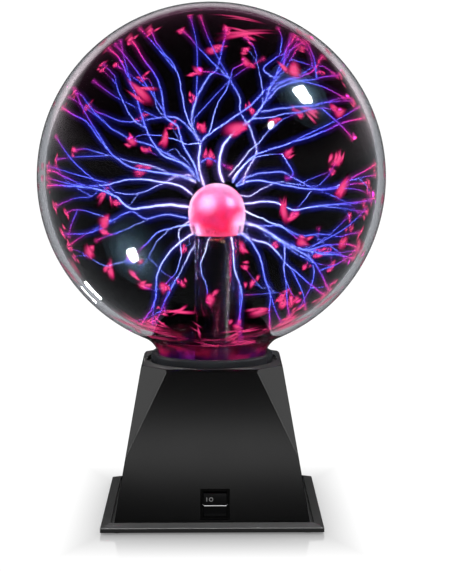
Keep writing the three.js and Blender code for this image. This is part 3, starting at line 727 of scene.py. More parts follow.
rocker_cap = rocker()
rocker_cap.data.transform(Matrix.Scale(1 / MM, 4))
rocker_cap.data.transform(ROCKER_FRAME)
rocker_cap.data.transform(Matrix.Scale(MM, 4))
placed(rocker_cap, "rocker", replaces=["switch_rocker"])
ring = [(0.8, -0.1), (1.15, -0.1), (1.15, 0.05), (0.8, 0.05)]
placed(mark("mark_off", lathe(ring, 40), -2.2), "rocker")
placed(mark("mark_on", block((-0.2, -1.1, -0.1), (0.2, 1.1, 0.05)), -4.6), "rocker")


def inlet_socket():
    d = JACK_DEPTH
    outer = [(JACK_BARREL_R, -d), (JACK_BARREL_R, 0.3), (JACK_FLANGE_R, 0.3), (JACK_FLANGE_R, 1.6)]
    lip = [(JACK_FLANGE_R - 0.4, 2.0), (JACK_BORE_R + 0.4, 2.0), (JACK_BORE_R, 1.6)]
    bottom = [(JACK_BORE_R, 2.5 - d), (0, 2.5 - d)]
    made = make("inlet_socket", lathe([(0, -d), *outer, *lip, *bottom], 64), SWITCH)
    joined(made, [rod(1.3, -d - 1, 0, sides=24), block((-1.6, 2, -d - 1), (1.6, 4.6, -1))])
    made.data.transform(Matrix.Scale(MM, 4) @ JACK_FRAME @ Matrix.Scale(1 / MM, 4))
    return flat_shaded(made)


placed(inlet_socket(), replaces=["dc_jack_body"])


# ---- globe, collar and stem ----------------------------------------------------------
def globe_outline(radius, neck, fillet, steps, neck_z=NECK_BASE_Z):
    """Up the neck, round the fillet and over the sphere."""
    cx = neck + fillet
    cz = GLOBE_Z - math.sqrt((radius + fillet) ** 2 - cx**2)
    meet = math.atan2(cz - GLOBE_Z, cx)
    sweep = arc(cx, cz, fillet, math.pi, meet + math.pi, 14)
    ball = arc(0, GLOBE_Z, radius, meet, math.pi / 2, steps)[1:-1]
    return [(neck, neck_z), *sweep, *ball, (0, GLOBE_Z + radius)]


def globe():
    outside = globe_outline(GLOBE_R, NECK_R, NECK_FILLET, 110)
    inside = globe_outline(INNER_R, NECK_R - NECK_GLASS, NECK_FILLET + GLASS, 100)
    # from the outer pole down to the neck's end and back up to the inner pole
    return make("globe_glass", lathe(outside[::-1] + inside, 192), GLOBE_GLASS, 60)


def bulb_outline(radius, neck, base_z, steps):
    drop = BULB_Z - base_z
    lower = [(radius - (radius - neck) * (1 - i / 8) ** 2, BULB_Z - drop * (1 - i / 8)) for i in range(8)]
    return [*lower, *arc(0, BULB_Z, radius, 0, math.pi / 2, steps)[:-1], (0, BULB_Z + radius)]


def stem():
    bore = STEM_R - STEM_GLASS
    outside = bulb_outline(BULB_R, STEM_R, ELECTRODE_BASE_Z - 3, 24)
    inside = bulb_outline(BULB_R - STEM_GLASS, bore, ELECTRODE_BASE_Z - 3, 24)
    profile = [*outside[::-1], (STEM_R, STEM_BASE_Z), (bore, STEM_BASE_Z), *inside]
    made = make("stem_tube", lathe(profile, 96, (STEM_X, 0)), STEM_GLASS_LOOK, 60)
    top = STEM_BASE_Z + STEM_DISC
    disc = rod(NECK_R - NECK_GLASS - 0.3, STEM_BASE_Z, top, sides=96)
    tip_z, root_z = NECK_BASE_Z - 7, STEM_BASE_Z + 1
    tip = lathe([(0, tip_z), (1, tip_z), (3, root_z), (0, root_z)], 32, (STEM_X - 20, 0))
    joined(made, [disc, tip], "UNION")
    joined(made, [rod(bore, STEM_BASE_Z - 1, top + 1, (STEM_X, 0), 96)])
    smooth(made.data, 40)
    return made


def electrode():
    """The glowing dome. It reaches a little into the bulb's wall, so that it fills the bulb to the eye."""
    into_wall = 0.25
    outer = BULB_R - STEM_GLASS + into_wall
    tube = STEM_R - STEM_GLASS + into_wall
    outside = bulb_outline(outer, tube, ELECTRODE_BASE_Z, 24)
    inside = bulb_outline(outer - 0.8, tube - 0.8, ELECTRODE_BASE_Z, 24)
    return make("electrode_dome", lathe(outside[::-1] + inside, 96, (STEM_X, 0)), ELECTRODE, 40)


def sheath():
    outside = bulb_outline(BULB_R + 0.75, STEM_R + 1.6, ELECTRODE_BASE_Z + 1, 24)
    inside = bulb_outline(BULB_R + 0.15, STEM_R + 1.0, ELECTRODE_BASE_Z + 1, 24)
    return make("electrode_corona", lathe(outside[::-1] + inside, 96, (STEM_X, 0)), CORONA, 60)


def ribbed_column():
    z0, z1 = sleeve_low.z, sleeve_high.z
    foot_r = STEM_R - STEM_GLASS - 0.3
    profile = [(RIB_BORE, z0), (foot_r, z0), (foot_r, z0 + 4), (RIB_R, z0 + 4)]
    # one rib: radius, and height as a share of the pitch
    crown = [(RIB_R - 0.15, 0.28), (RIB_R, 0.36), (RIB_R, 0.54), (RIB_R - 0.15, 0.62)]
    rib = [(RIB_VALLEY_R, 0), (RIB_VALLEY_R, 0.16), *crown, (RIB_VALLEY_R, 0.74)]
    first_z = z0 + 6
    for i in range(int((z1 - RIB_PITCH - first_z) / RIB_PITCH) + 1):
        profile += [(r, first_z + i * RIB_PITCH + RIB_PITCH * share) for r, share in rib]
    profile += [(RIB_VALLEY_R, z1), (RIB_BORE, z1)]
    return make("ribbed_column", lathe(profile, 64, (STEM_X, 0)), RIBBED, 20)


def collar():
    bead = (COLLAR_R - COLLAR_BORE_R) / 2
    crown = arc(COLLAR_BORE_R + bead, collar_high.z - bead, bead, 0, math.pi, 20)
    seat_z = HOUSING_Z1 - RECESS_DEPTH + 0.3
    foot = [(COLLAR_BORE_R, collar_low.z), (SKIRT_R, collar_low.z), (SKIRT_R, seat_z)]
    side = [(COLLAR_R - 0.2, seat_z), (COLLAR_R, seat_z + 0.2)]
    return make("collar_ring", lathe([*foot, *side, *crown], 144), COLLAR)


def hugging_outline(gap, neck_gap, low):
    """An outline just inside the globe's inner surface that moves out into the wall round the neck."""
    inner = globe_outline(INNER_R - gap, NECK_R - NECK_GLASS - gap, NECK_FILLET + GLASS + gap, 64, low)
    outer = globe_outline(GLOBE_R - neck_gap, NECK_R - neck_gap, NECK_FILLET + neck_gap, 64, low)
    turn_z = GLOBE_Z - 0.93 * INNER_R
    return [p for p in outer if p[1] < turn_z - 2] + [p for p in inner if p[1] > turn_z + 2]


def gas_fill():
    """The shell of painted shade that darkens the globe's inside, just inside the glass and above the stem's
    disc.
    """
    low = STEM_BASE_Z + STEM_DISC + 0.15
    return make("gas_fill", lathe([(0, low), *hugging_outline(0.15, 0.8, low)], 128), DARK_TINT, 60)


def neck_pool():
    """A sheet of glow along the bottom of the globe and down its neck."""
    low = STEM_BASE_Z + STEM_DISC + 3
    outline = hugging_outline(1.2, 1.5, low)
    outside = [p for p in outline if p[1] < GLOBE_Z - 0.9 * INNER_R]
    inside = [(r - 0.4 * min(1, (z - low) / 4), z) for r, z in outside]
    return make("neck_pool", lathe(outside + inside[:0:-1], 96), POOL, 60)


glass_pieces = [
    placed(globe(), replaces=["glass_globe"]),
    placed(stem(), replaces=["glass_stem"]),
]
# the shell of painted shade inside the globe
placed(gas_fill())
placed(neck_pool())
placed(electrode(), replaces=["electrode_bulb"])
placed(sheath())
placed(ribbed_column(), replaces=["ribbed_sleeve"])
placed(collar(), replaces=["neck_collar"])


# ---- the discharge -------------------------------------------------------------------
FRONT, ARCH, BACK = -1, 0, 1
TRUNK, MAIN, THIN = 0.75, 0.48, 0.32  # radius of a streamer where it starts
BRANCH_REACH, TWIG_REACH = 0.3, 0.45  # how far out in its colours a side shoot starts
BLUE_REACH = 0.62  # how far a streamer gets in its colours before it turns pink
NEAR_RIM = 62  # twigs leave the streamers that end further out than this

# Each streamer, as it is seen square on from the front: the side of the globe that it runs to (an
# arch ends in the gas), its thickness, and its (x, z) points from the middle of the globe. One that
# starts on an earlier streamer branches off it.
STREAMERS = (
    # the left trunk, which forks over the electrode, and what grows from it
    (BACK, TRUNK, (-4, -6), (-7, 1), (-8, 9), (-7, 19), (-10, 27), (-11, 36), (-8, 46), (-1, 58),
     (4, 64), (9, 87)),
    (FRONT, MAIN, (-7, 19), (-2, 24), (6, 30), (16, 37), (24, 43), (32, 50), (45, 56), (58, 62), (63, 69)),
    (BACK, MAIN, (-7, 19), (-11, 26), (-17, 32), (-25, 35), (-36, 33), (-48, 32), (-62, 35), (-74, 41)),
    (FRONT, THIN, (-7, 19), (-15, 20), (-23, 24), (-36, 27), (-42, 24)),
    (BACK, THIN, (-7, 19), (-10, 30), (-11, 38), (-11, 45)),
    (FRONT, THIN, (-11, 28), (-14, 35), (-18, 48), (-19, 58), (-21, 65), (-27, 73), (-33, 82)),
    (FRONT, THIN, (-2, 24), (1, 32), (4, 42), (8, 52), (12, 61), (18, 65)),
    (ARCH, THIN, (-7, 8), (-2, 10), (4, 8), (12, 5)),
    # the right trunk and its crown
    (FRONT, TRUNK, (7, -3), (4, 3), (4, 12), (8, 21), (15, 28), (23, 34), (29, 42), (34, 52),
     (40, 63), (42, 72), (47, 80)),
    (BACK, MAIN, (31, 48), (37, 55), (45, 66), (52, 76)),
    (BACK, THIN, (30, 45), (38, 52), (50, 59), (62, 64), (72, 60)),
    (FRONT, THIN, (29, 42), (38, 50), (50, 55), (60, 57), (71, 58)),
    (BACK, MAIN, (26, 38), (36, 39), (50, 41), (64, 43), (78, 46), (84, 45)),
    (FRONT, THIN, (23, 34), (33, 35), (45, 38), (60, 39.5), (69, 38)),
    (BACK, THIN, (29, 43), (29, 52), (27, 64), (26, 72), (20, 82)),
    (FRONT, THIN, (36, 56), (30, 62), (36, 68), (44, 72), (52, 77)),
    (BACK, MAIN, (18, -4), (21, 4), (25, 13), (24, 22), (21, 31), (17, 38), (16, 46), (11, 55),
     (3, 64), (-7, 75), (-18, 86)),
    (BACK, MAIN, (10, 1), (16, 7), (20, 13), (27, 19), (35, 26), (43, 32), (54, 36)),
    (FRONT, THIN, (12, -1), (17, 7), (23, 13), (31, 16), (40, 18)),
    (FRONT, MAIN, (12, -3), (17, 4), (24, 12), (36, 17), (50, 21), (64, 26), (76, 32), (88, 35)),
    (ARCH, THIN, (37, 17), (41, 12), (43, 7), (39, 4)),
    # right-hand horizontals
    (BACK, MAIN, (14, -4), (21, 0), (31, 2.5), (40, 3.5), (48, 0), (56, -5), (65, -7), (78, -6), (93, -4)),
    (FRONT, MAIN, (14, -5), (24, -2), (34, -3), (46, -5), (57, -7), (70, -6), (80, 0), (90, 5), (95, 8)),
    (BACK, THIN, (16, -10), (24, -11), (32, -6), (38, -3.5), (50, -6), (64, -7), (76, 6)),
    (FRONT, THIN, (72, -6), (82, -2), (94, 2)),
    (FRONT, MAIN, (18, -15), (28, -14), (38, -14), (48, -18), (58, -17), (70, -15), (82, -14), (93, -11)),
    (BACK, THIN, (56, -17), (68, -17), (82, -19), (92, -21)),
    (BACK, THIN, (62, -8), (56, -18), (50, -29)),
    (FRONT, MAIN, (19, -19), (25, -22), (34, -23), (41, -25), (48, -30)),
    # the bundle at the lower right
    (FRONT, TRUNK, (18, -26), (28, -29), (40, -35), (50, -40), (62, -43), (75, -44), (86, -48)),
    (BACK, MAIN, (17, -26), (28, -28), (38, -27), (47, -31), (53, -34), (64, -33), (76, -35), (91, -34)),
    (FRONT, MAIN, (30, -30), (42, -37), (54, -40), (66, -37), (76, -35), (81, -37)),
    (BACK, MAIN, (40, -36), (48, -42), (58, -44), (66, -50)),
    (FRONT, MAIN, (44, -38), (55, -45), (64, -56), (69, -66)),
    (BACK, THIN, (52, -34), (57, -42), (70, -48)),
    (BACK, THIN, (36, -33), (46, -42), (58, -50), (72, -55)),
    (FRONT, THIN, (42, -37), (41, -50), (42, -62), (43, -74)),
    (BACK, THIN, (56, -44), (60, -54), (59, -66), (54, -82)),
    (FRONT, MAIN, (16, -31), (24, -36), (33, -38), (42, -47), (52, -58), (67, -69)),
    (BACK, THIN, (30, -32), (35, -40), (39, -46)),
    (FRONT, MAIN, (16, -32), (23, -37), (28, -47), (31, -57), (34, -66), (33, -78), (34, -88)),
    (BACK, THIN, (32, -62), (30, -67), (25, -69)),
    (BACK, THIN, (33, -62), (37, -68), (43, -74)),
    (BACK, THIN, (18, -22), (21, -30), (21, -39), (19, -49)),
    (FRONT, MAIN, (11, -34), (13, -42), (14, -54), (16, -64), (14, -78)),
    # short ones in front of the stem
    (FRONT, THIN, (-1, -34), (-5, -41), (-6, -50), (-3, -56), (-1, -61)),
    # lower left
    (FRONT, MAIN, (-10, -32), (-18, -36), (-26, -45), (-31, -56), (-33, -68), (-40, -82)),
    (BACK, MAIN, (-8, -36), (-13, -45), (-18, -56), (-25, -66), (-33, -70), (-41, -70)),
    (BACK, THIN, (-21, -61), (-26, -71), (-32, -82), (-34, -88)),
    (BACK, THIN, (-12, -33), (-14, -42), (-18, -50)),
    (FRONT, THIN, (-13, -25), (-19, -30), (-17, -40), (-19, -47), (-26, -54)),
    (FRONT, MAIN, (-12, -27), (-24, -27), (-32, -30), (-38, -35), (-41, -38)),
    (BACK, THIN, (-24, -27), (-32, -38), (-40, -52), (-48, -63)),
    (BACK, THIN, (-41, -38), (-56, -45), (-70, -43), (-86, -43)),
    # left-hand horizontals
    (FRONT, TRUNK, (-12, -17), (-28, -16), (-46, -17), (-55, -11), (-67, -6), (-80, -4), (-94, -4)),
    (BACK, MAIN, (-12, -24), (-25, -22), (-38, -24), (-46, -19), (-56, -25), (-68, -31), (-88, -34)),
    (BACK, THIN, (-36, -24), (-46, -29), (-58, -36), (-66, -37)),
    (BACK, THIN, (-56, -26), (-66, -23), (-78, -20), (-87, -23)),
    (FRONT, MAIN, (-11, -10), (-20, -4), (-32, -1.5), (-46, -1), (-60, -4), (-72, -4), (-84, 1), (-94, 5)),
    (BACK, THIN, (-9, 1), (-20, 1), (-31, -4), (-42, -9), (-56, -9), (-62, -4), (-70, -11),
     (-80, -13), (-93, -18)),
    (BACK, THIN, (-42, -9), (-50, -19), (-58, -20)),
    (BACK, MAIN, (-9, -3), (-22, 2), (-36, 6), (-48, 9), (-62, 12), (-76, 14), (-83, 14)),
    (FRONT, MAIN, (-9, -2), (-20, 2), (-34, 4), (-45, 6), (-55, 13), (-64, 22), (-73, 33), (-86, 41)),
    (BACK, MAIN, (-9, 0), (-18, 9), (-30, 16), (-43, 22), (-57, 28), (-66, 36), (-75, 46), (-82, 51)),
    # upper left
    (FRONT, MAIN, (-8, -1), (-15, 7), (-21, 10), (-28, 13), (-36, 24), (-40, 38), (-46, 54),
     (-52, 67), (-59, 75)),
    (BACK, THIN, (-37, 28), (-46, 35), (-53, 48), (-56, 58), (-64, 66)),
    (FRONT, MAIN, (-7, -2), (-11, 8), (-16, 20), (-19, 30), (-25, 35), (-27, 45), (-30, 57),
     (-37, 68), (-44, 77)),
    (BACK, THIN, (-24, 34), (-31, 38), (-34, 46), (-38, 56), (-42, 57)),
    (BACK, THIN, (-10, 2), (-20, 15), (-30, 11), (-41, 12)),
    (BACK, THIN, (-16, 20), (-22, 24), (-24, 29)),
)

# Pink patches that spread on the glass away from a streamer's end: side, (x, z), length, width, lean.
PATCHES = (
    (FRONT, (-24, 26), 12, 4, 0),
    (BACK, (-5, 26), 9, 5, -10),
    (BACK, (-42, 34), 8, 5, -60),
    (FRONT, (44, 61), 15, 7, 30),
    (FRONT, (37.5, -12), 15, 3.5, -20),
    (BACK, (2, 74), 12, 7, -75),
    (FRONT, (14, 31), 15, 6, 70),
    (BACK, (25, 37), 8, 4, 30),
    (FRONT, (-38, 50), 24, 4, -52),
    (BACK, (-66, -13), 18, 3, -40),
    (FRONT, (-56, -18), 9, 6, 40),
    (FRONT, (70, -1), 16, 6, 45),
    (BACK, (78, 9), 12, 4, -20),
    (FRONT, (71, -32), 9, 5, 20),
    (BACK, (91, -16), 7, 4, 0),
    (BACK, (-35, -86), 30, 4, -80),
    (FRONT, (-66, -36), 9, 7, 0),
    (BACK, (-44, -1), 11, 7, -80),
    (FRONT, (-78, -50), 22, 6, -45),
    (FRONT, (26, -69), 13, 5, 75),
    (BACK, (43, -78), 14, 8, 60),
    (BACK, (60, 38), 16, 4, 75),
    (FRONT, (20, 80), 34, 4, 80),
    (BACK, (16, 95), 34, 3, -88),
    (BACK, (-1, 8), 12, 5, 0),
    (BACK, (20, -93), 26, 4, 60),
    (FRONT, (-35, -80), 24, 3.5, -68),
    (FRONT, (29, -87), 16, 3, 55),
    (FRONT, (41, -78), 15, 6, 45),
    (FRONT, (12, -84), 20, 3, 22),
    (FRONT, (-7, -81), 16, 1.2, 0),
    (FRONT, (-1, -92), 30, 2, 90),
    (BACK, (-20, -84), 26, 4, 75),
    (BACK, (48, -76), 24, 5, 50),
    (FRONT, (-48, -77), 30, 5, -55),
    (FRONT, (-27, -86), 28, 4, -72),
    (FRONT, (46, -77), 28, 7, 55),
    (FRONT, (63, -65), 20, 5, 42),
    (FRONT, (15, -91), 30, 4, 80),
    (BACK, (-62, -58), 18, 6, -40),
)

GLOBE_MIDDLE = Vector((0, 0, GLOBE_Z))
FOOT_R = INNER_R - 0.9  # the feet lie just inside the glass
GLASS_GLOW_R = INNER_R + 0.7  # painted glow inside the glass wall, for a foot's light seen through the glass


def spline(points, steps):
    """A smooth curve through the points, evenly divided between each pair."""
    ends = [points[0] * 2 - points[1], *points, points[-1] * 2 - points[-2]]
    line = []
    for a, b, c, d in zip(ends, ends[1:], ends[2:], ends[3:]):
        for i in range(steps):
            t = i / steps
            square_term = (2 * a - 5 * b + 4 * c - d) * t**2
            cube_term = (3 * b - 3 * c + d - a) * t**3
            line.append(0.5 * (2 * b + (c - a) * t + square_term + cube_term))
    return line + [points[-1]]


def lengths(line):
    along = [0.0]
    for a, b in zip(line, line[1:]):
        along.append(along[-1] + (b - a).length)
    return along


def depth_at_start(x, z, earlier):
    """The depth at which a streamer starts: on an earlier one that passes there, or at the bulb."""
    near = [(math.hypot(p.x - x, p.z - z), p.y) for line in earlier for p in line]
    if near and min(near)[0] < 2.5:
        return min(near)[1], True
    return 0.0, False


def routed(side, points, earlier):
    """A streamer's line in space: its seen points, and a depth that grows until it meets the glass."""
    seen = [Vector((x, 0, z + GLOBE_Z)) for x, z in points]
    start_y, branches = depth_at_start(seen[0].x, seen[0].z, earlier)
    end = seen[-1] - GLOBE_MIDDLE
    if end.length > FOOT_R - 0.5:
        end = end * ((FOOT_R - 0.5) / end.length)
        seen[-1] = GLOBE_MIDDLE + end
    end_y = side * math.sqrt(FOOT_R**2 - end.length_squared) if side else start_y
    along = lengths(seen)
    for p, s in zip(seen, along):
        p.y = start_y + (end_y - start_y) * (s / along[-1]) ** 1.15
    line = spline(seen, 9)
    shaken = []
    for i, p in enumerate(line):
        free = min(1.0, i / 6, (len(line) - 1 - i) / 4)
        sway = noise.noise_vector(p * 0.055) * 1.6 + noise.noise_vector(p * 0.21) * 0.45
        shaken.append(p + sway * free)
    return shaken, branches


class Strip:
    """Gathers tubes and patches into one mesh, with the attributes `reach` and `fade` on its points."""

    def __init__(self):
        self.points, self.faces, self.reach, self.fade = [], [], [], []

    def add(self, point, reach, fade=1.0):
        self.points.append(point * MM)
        self.reach.append(reach)
        self.fade.append(fade)
        return len(self.points) - 1

    def tube(self, line, radii, reaches, fade=1.0, sides=7):
        side = Vector((0, 0, 1))
        rings = []
        for i, (p, r, reach) in enumerate(zip(line, radii, reaches)):
            way = (line[min(i + 1, len(line) - 1)] - line[max(i - 1, 0)]).normalized()
            side = (side - way * side.dot(way)).normalized()
            across = way.cross(side)
            turns = [2 * math.pi * k / sides for k in range(sides)]
            ring = [p + (side * math.cos(a) + across * math.sin(a)) * r for a in turns]
            rings.append([self.add(point, reach, fade) for point in ring])
        for low, high in zip(rings, rings[1:]):
            for k in range(sides):
                n = (k + 1) % sides
                self.faces.append((low[k], low[n], high[n], high[k]))
        self.faces += [tuple(rings[0][::-1]), tuple(rings[-1])]

    def patch(self, way, radius, length, width, lean, rings=5, sides=18):
        """A thin lens on the sphere of that radius, drawn out to one end and fading to its edge."""
        up = Vector((0, 0, 1)) if abs(way.z) < 0.95 else Vector((0, 1, 0))
        up = (up - way * up.dot(way)).normalized()
        right = up.cross(way)
        turn = math.radians(lean)
        long = up * math.cos(turn) + right * math.sin(turn)
        wide = right * math.cos(turn) - up * math.sin(turn)
        layers = []
        for lift in (0.22, -0.22):
            layer = [[self.add(GLOBE_MIDDLE + way * (radius + lift), 1.0)]]
            for k in range(1, rings + 1):
                share = k / rings
                inward = 1 - share**2
                ring = []
                for s in range(sides):
                    a = 2 * math.pi * s / sides
                    around = Vector((math.cos(a), math.sin(a), lean * 0.01))
                    ragged = 1 + 0.35 * noise.noise(way * 9 + around * 0.6)
                    taper = 1 - 0.6 * math.cos(a)
                    off = long * (math.cos(a) * length / 2) + wide * (math.sin(a) * width / 2 * taper)
                    flat = (way * radius + off * share * ragged).normalized()
                    point = GLOBE_MIDDLE + flat * (radius + lift * inward)
                    if k == rings and lift < 0:
                        ring.append(layers[0][-1][s])
                    else:
                        ring.append(self.add(point, inward**2, inward**2.8))
                layer.append(ring)
            layers.append(layer)
        for layer, flip in zip(layers, (False, True)):
            for low, high in zip(layer, layer[1:]):
                for s in range(sides):
                    n = (s + 1) % sides
                    corners = (low[s % len(low)], high[s], high[n], low[n % len(low)])
                    face = tuple(dict.fromkeys(corners))
                    self.faces.append(face[::-1] if flip else face)

    def make(self, name, finish):
        mesh = bpy.data.meshes.new(name)
        mesh.from_pydata([tuple(p) for p in self.points], [], self.faces)
        for key, values in (("reach", self.reach), ("fade", self.fade)):
            mesh.attributes.new(key, "FLOAT", "POINT").data.foreach_set("value", values)
        mesh.materials.append(finish)
        mesh.shade_smooth()
        made = bpy.data.objects.new(name, mesh)
        bpy.context.scene.collection.objects.link(made)
        return made


cores, halos, mists, feet, glass_glows = Strip(), Strip(), Strip(), Strip(), Strip()
chance = random.Random(11)
noise.seed_set(11)  # without this, noise_vector takes its offsets from the clock


def draw_streamer(line, width, side, first_reach=0.0):
    """A streamer with its halo and mist. It thins as it runs, and turns pink near the glass. One that
    runs to the back is fainter and wider."""
    along = lengths(line)
    total = along[-1]
    blush = chance.uniform(10, 38)
    last = chance.uniform(0.85, 1.0)
    core, halo, mist, reaches = [], [], [], []
    for s in along:
        t = s / total
        left = total - s
        flare = max(0.0, 1 - left / 8)
        r = width * (1 - 0.6 * t) * min(1.0, 0.6 + s / 8)
        core.append(r)
        halo.append(r * 2.2 + 0.35 + 1.5 * flare**2)
        mist.append(r * 3.5 + 2.2)
        pink = max(0.0, min(1.0, 1 - left / blush))
        reaches.append(first_reach + (BLUE_REACH - first_reach) * t + (last - BLUE_REACH) * pink)
    near = side != BACK
    cores.tube(line, core, reaches, 1.0 if near else 0.45)
    halos.tube(line, halo, reaches, 1.0 if near else 0.85, 10)
    mists.tube(line, mist, reaches, 1.0, 12)


def draw_foot(end, length, width, lean):
    """A pink foot on the glass: a main patch, smaller ones beside it, and a painted glow of it inside the
    glass wall.
    """
    way = (end - GLOBE_MIDDLE).normalized()
    feet.patch(way, FOOT_R, length, width, lean)
    for lift in (0.7, 1.4):
        aside = Vector([chance.uniform(-1, 1) for _ in range(3)]) * 0.045
        turn = lean + chance.uniform(-55, 55)
        feet.patch((way + aside).normalized(), FOOT_R - lift, length * 0.7, width * 0.6, turn)
    # painted glow inside the glass wall, standing in for the foot's light seen through the glass
    glass_glows.patch(way, GLASS_GLOW_R, length * 1.1, width * 1.2, lean)


drawn = []
for side, width, *points in STREAMERS:
    line, branches = routed(side, points, drawn)
    drawn.append(line)
    draw_streamer(line, width, side, BRANCH_REACH if branches else 0.0)
    if side == ARCH:
        continue
    x, z = points[-1]
    size = chance.uniform(0.7, 1.1) * (0.6 + 0.4 * min(1, math.hypot(x, z) / 60))
    draw_foot(line[-1], 13 * size, 6 * size, math.degrees(math.atan2(x, z)) + chance.uniform(-40, 40))
    # a thin twig or two leave it for the glass nearby
    twigs = 1 if width < TRUNK else 2
    for _ in range(twigs if math.hypot(x, z) > NEAR_RIM else 0):
        at = line[int(len(line) * chance.uniform(0.5, 0.75))]
        spread = Vector([chance.uniform(-1, 1) for _ in range(3)]) * 0.32
        way = ((line[-1] - GLOBE_MIDDLE).normalized() + spread).normalized()
        end = GLOBE_MIDDLE + way * FOOT_R
        middle = at.lerp(end, 0.5) + (line[-1] - at) * 0.12
        twig = spline([at, middle, end], 8)
        draw_streamer(twig, THIN * 0.7, side, TWIG_REACH)
        if chance.random() < 0.5:
            draw_foot(end, 8 * chance.uniform(0.7, 1.2), 5, chance.uniform(-90, 90))
for side, (x, z), length, width, lean in PATCHES:
    flat = min(math.hypot(x, z), FOOT_R - 0.5) / math.hypot(x, z)
    x, z = x * flat, z * flat
    y = side * math.sqrt(FOOT_R**2 - x * x - z * z)
    draw_foot(GLOBE_MIDDLE + Vector((x, y, z)), length * 1.25, width * 1.15, lean)

placed(mists.make("streamer_mists", MIST))
placed(cores.make("streamers", CORE))
placed(halos.make("streamer_halos", HALO))
placed(feet.make("streamer_feet", FOOT))
# the painted glows inside the glass wall
placed(glass_glows.make("streamer_stains", GLASS_GLOW_PAINT))
CAST_NO_SHADOW = ("streamer", "gas_fill", "neck_pool", "globe_glass", "stem_tube", "electrode_corona")
for piece in bpy.context.scene.objects:
    if piece.name.startswith(CAST_NO_SHADOW):
        piece.visible_shadow = False


# ---- floor, light and camera ---------------------------------------------------------
SHINE_ASIDE, SHINE_AHEAD = 0.022, 0.05  # how far from the plinth the table's gloss fades out
WHITE = (1, 1, 1, 1)


def floor():
    """A white table, glossy round the base. Further out it is plain and gives its own white light."""
    look = Look("white_table")
    apart = look.node("ShaderNodeSeparateXYZ", {"Vector": look.place}).outputs
    edge = PLINTH_HALF * MM
    aside = look.fit(look.math("ABSOLUTE", apart["X"]), edge, edge + SHINE_ASIDE, 0.0, 1.0)
    ahead = look.fit(look.math("ABSOLUTE", apart["Y"]), edge, edge + SHINE_AHEAD, 0.0, 1.0)
    far = look.math("MAXIMUM", aside, ahead)
    speckle = look.mix(look.noise(2), (0.86, 0.86, 0.86, 1), (0.9, 0.9, 0.9, 1))
    near = look.principled(
        Base_Color=speckle, Roughness=0.1, IOR=1.5, Emission_Color=WHITE, Emission_Strength=0.2
    )
    plain = look.node("ShaderNodeEmission", {"Color": WHITE, "Strength": 1.05}).outputs[0]
    white = look.show(look.node("ShaderNodeMixShader", {0: far, 1: near, 2: plain}).outputs[0])
    bm = bmesh.new()
    bmesh.ops.create_circle(bm, cap_ends=True, segments=96, radius=4000)
    made = make("table", bm, white)
    made.visible_glossy = False
    made.visible_transmission = False
    return made


def studio():
    """A white surround for the eye. Through the glass it is grey at the horizon and below, lighter
    just above, and dark pink overhead. In what mirrors it is nearly dark, so that the windows and
    softboxes stand out."""
    world = bpy.data.worlds.new("studio")
    bpy.context.scene.world = world
    world.use_nodes = True
    nodes, links = world.node_tree.nodes, world.node_tree.links
    nodes.clear()

    def background(strength, colour=WHITE):
        made = nodes.new("ShaderNodeBackground")
        made.inputs["Color"].default_value = colour
        made.inputs["Strength"].default_value = strength
        return made

    def choose(share, otherwise, wanted):
        made = nodes.new("ShaderNodeMixShader")
        links.new(share, made.inputs[0])
        links.new(otherwise.outputs[0], made.inputs[1])
        links.new(wanted.outputs[0], made.inputs[2])
        return made

    ray = nodes.new("ShaderNodeLightPath").outputs
    split = nodes.new("ShaderNodeSeparateXYZ")
    links.new(nodes.new("ShaderNodeTexCoord").outputs["Generated"], split.inputs[0])

    def above(low, high):
        """How far the looked-at height has risen from one level to another, from 0 to 1."""
        height = nodes.new("ShaderNodeMapRange")
        links.new(split.outputs["Z"], height.inputs["Value"])
        height.inputs["From Min"].default_value = low
        height.inputs["From Max"].default_value = high
        return height.outputs[0]

    horizon = background(0.56, (0.9, 0.93, 1.0, 1))
    just_above = background(0.95, (1.0, 0.88, 0.96, 1))
    overhead = background(0.12, (1.0, 0.3, 0.65, 1))
    through = choose(above(0.2, 0.36), choose(above(0.04, 0.14), horizon, just_above), overhead)
    mirrored = choose(ray["Is Glossy Ray"], background(0.45), background(0.02))
    other = choose(ray["Is Transmission Ray"], mirrored, through)
    seen = choose(ray["Is Camera Ray"], other, background(1.05))
    links.new(seen.outputs[0], nodes.new("ShaderNodeOutputWorld").inputs["Surface"])


def receivers(name, pieces):
    """A collection of the pieces that a light is for."""
    made = bpy.data.collections.new(name)
    for piece in pieces:
        made.objects.link(piece)
    return made


def softbox(name, at, size, radiance, aim, only, colour=(1, 1, 1), upright=(0, 0, 1), shape="RECTANGLE"):
    """An area light of that brightness, `upright` along its height, for some pieces alone."""
    data = bpy.data.lights.new(name, "AREA")
    data.shape = shape
    data.size, data.size_y = size
    data.energy = radiance * math.pi * size[0] * size[1]
    data.color = colour
    made = bpy.data.objects.new(name, data)
    bpy.context.scene.collection.objects.link(made)
    back = (Vector(at) - Vector(aim)).normalized()
    side = Vector(upright).cross(back).normalized()
    up = back.cross(side)
    turn = Matrix((side, up, back)).transposed().to_4x4()
    made.matrix_world = Matrix.Translation(at) @ turn
    made.visible_camera = False
    made.visible_transmission = False
    made.light_linking.receiver_collection = only
    return made


table = floor()
studio()
globe_at = Vector((0, 0, GLOBE_Z * MM))
on_globe = receivers("lit_by_windows", glass_pieces[:1])
# Bright windows mirrored in the globe: name, way to it from the globe, distance, width, height,
# brightness, and how far its height leans from level.
WINDOWS = (
    ("window_high", (0.733, -0.092, 0.674), 1.2, 0.19, 0.19, 1100, 70),
    ("window_low", (-0.631, -0.509, -0.586), 0.27, 0.032, 0.028, 1100, 70),
    ("window_side", (-0.657, 0.386, -0.648), 0.27, 0.016, 0.036, 500, 0),
    ("window_slit", (-0.55, 0.62, -0.56), 0.3, 0.006, 0.03, 300, 0),
    ("window_small", (0.571, -0.618, 0.541), 1.2, 0.07, 0.09, 500, 70),
)
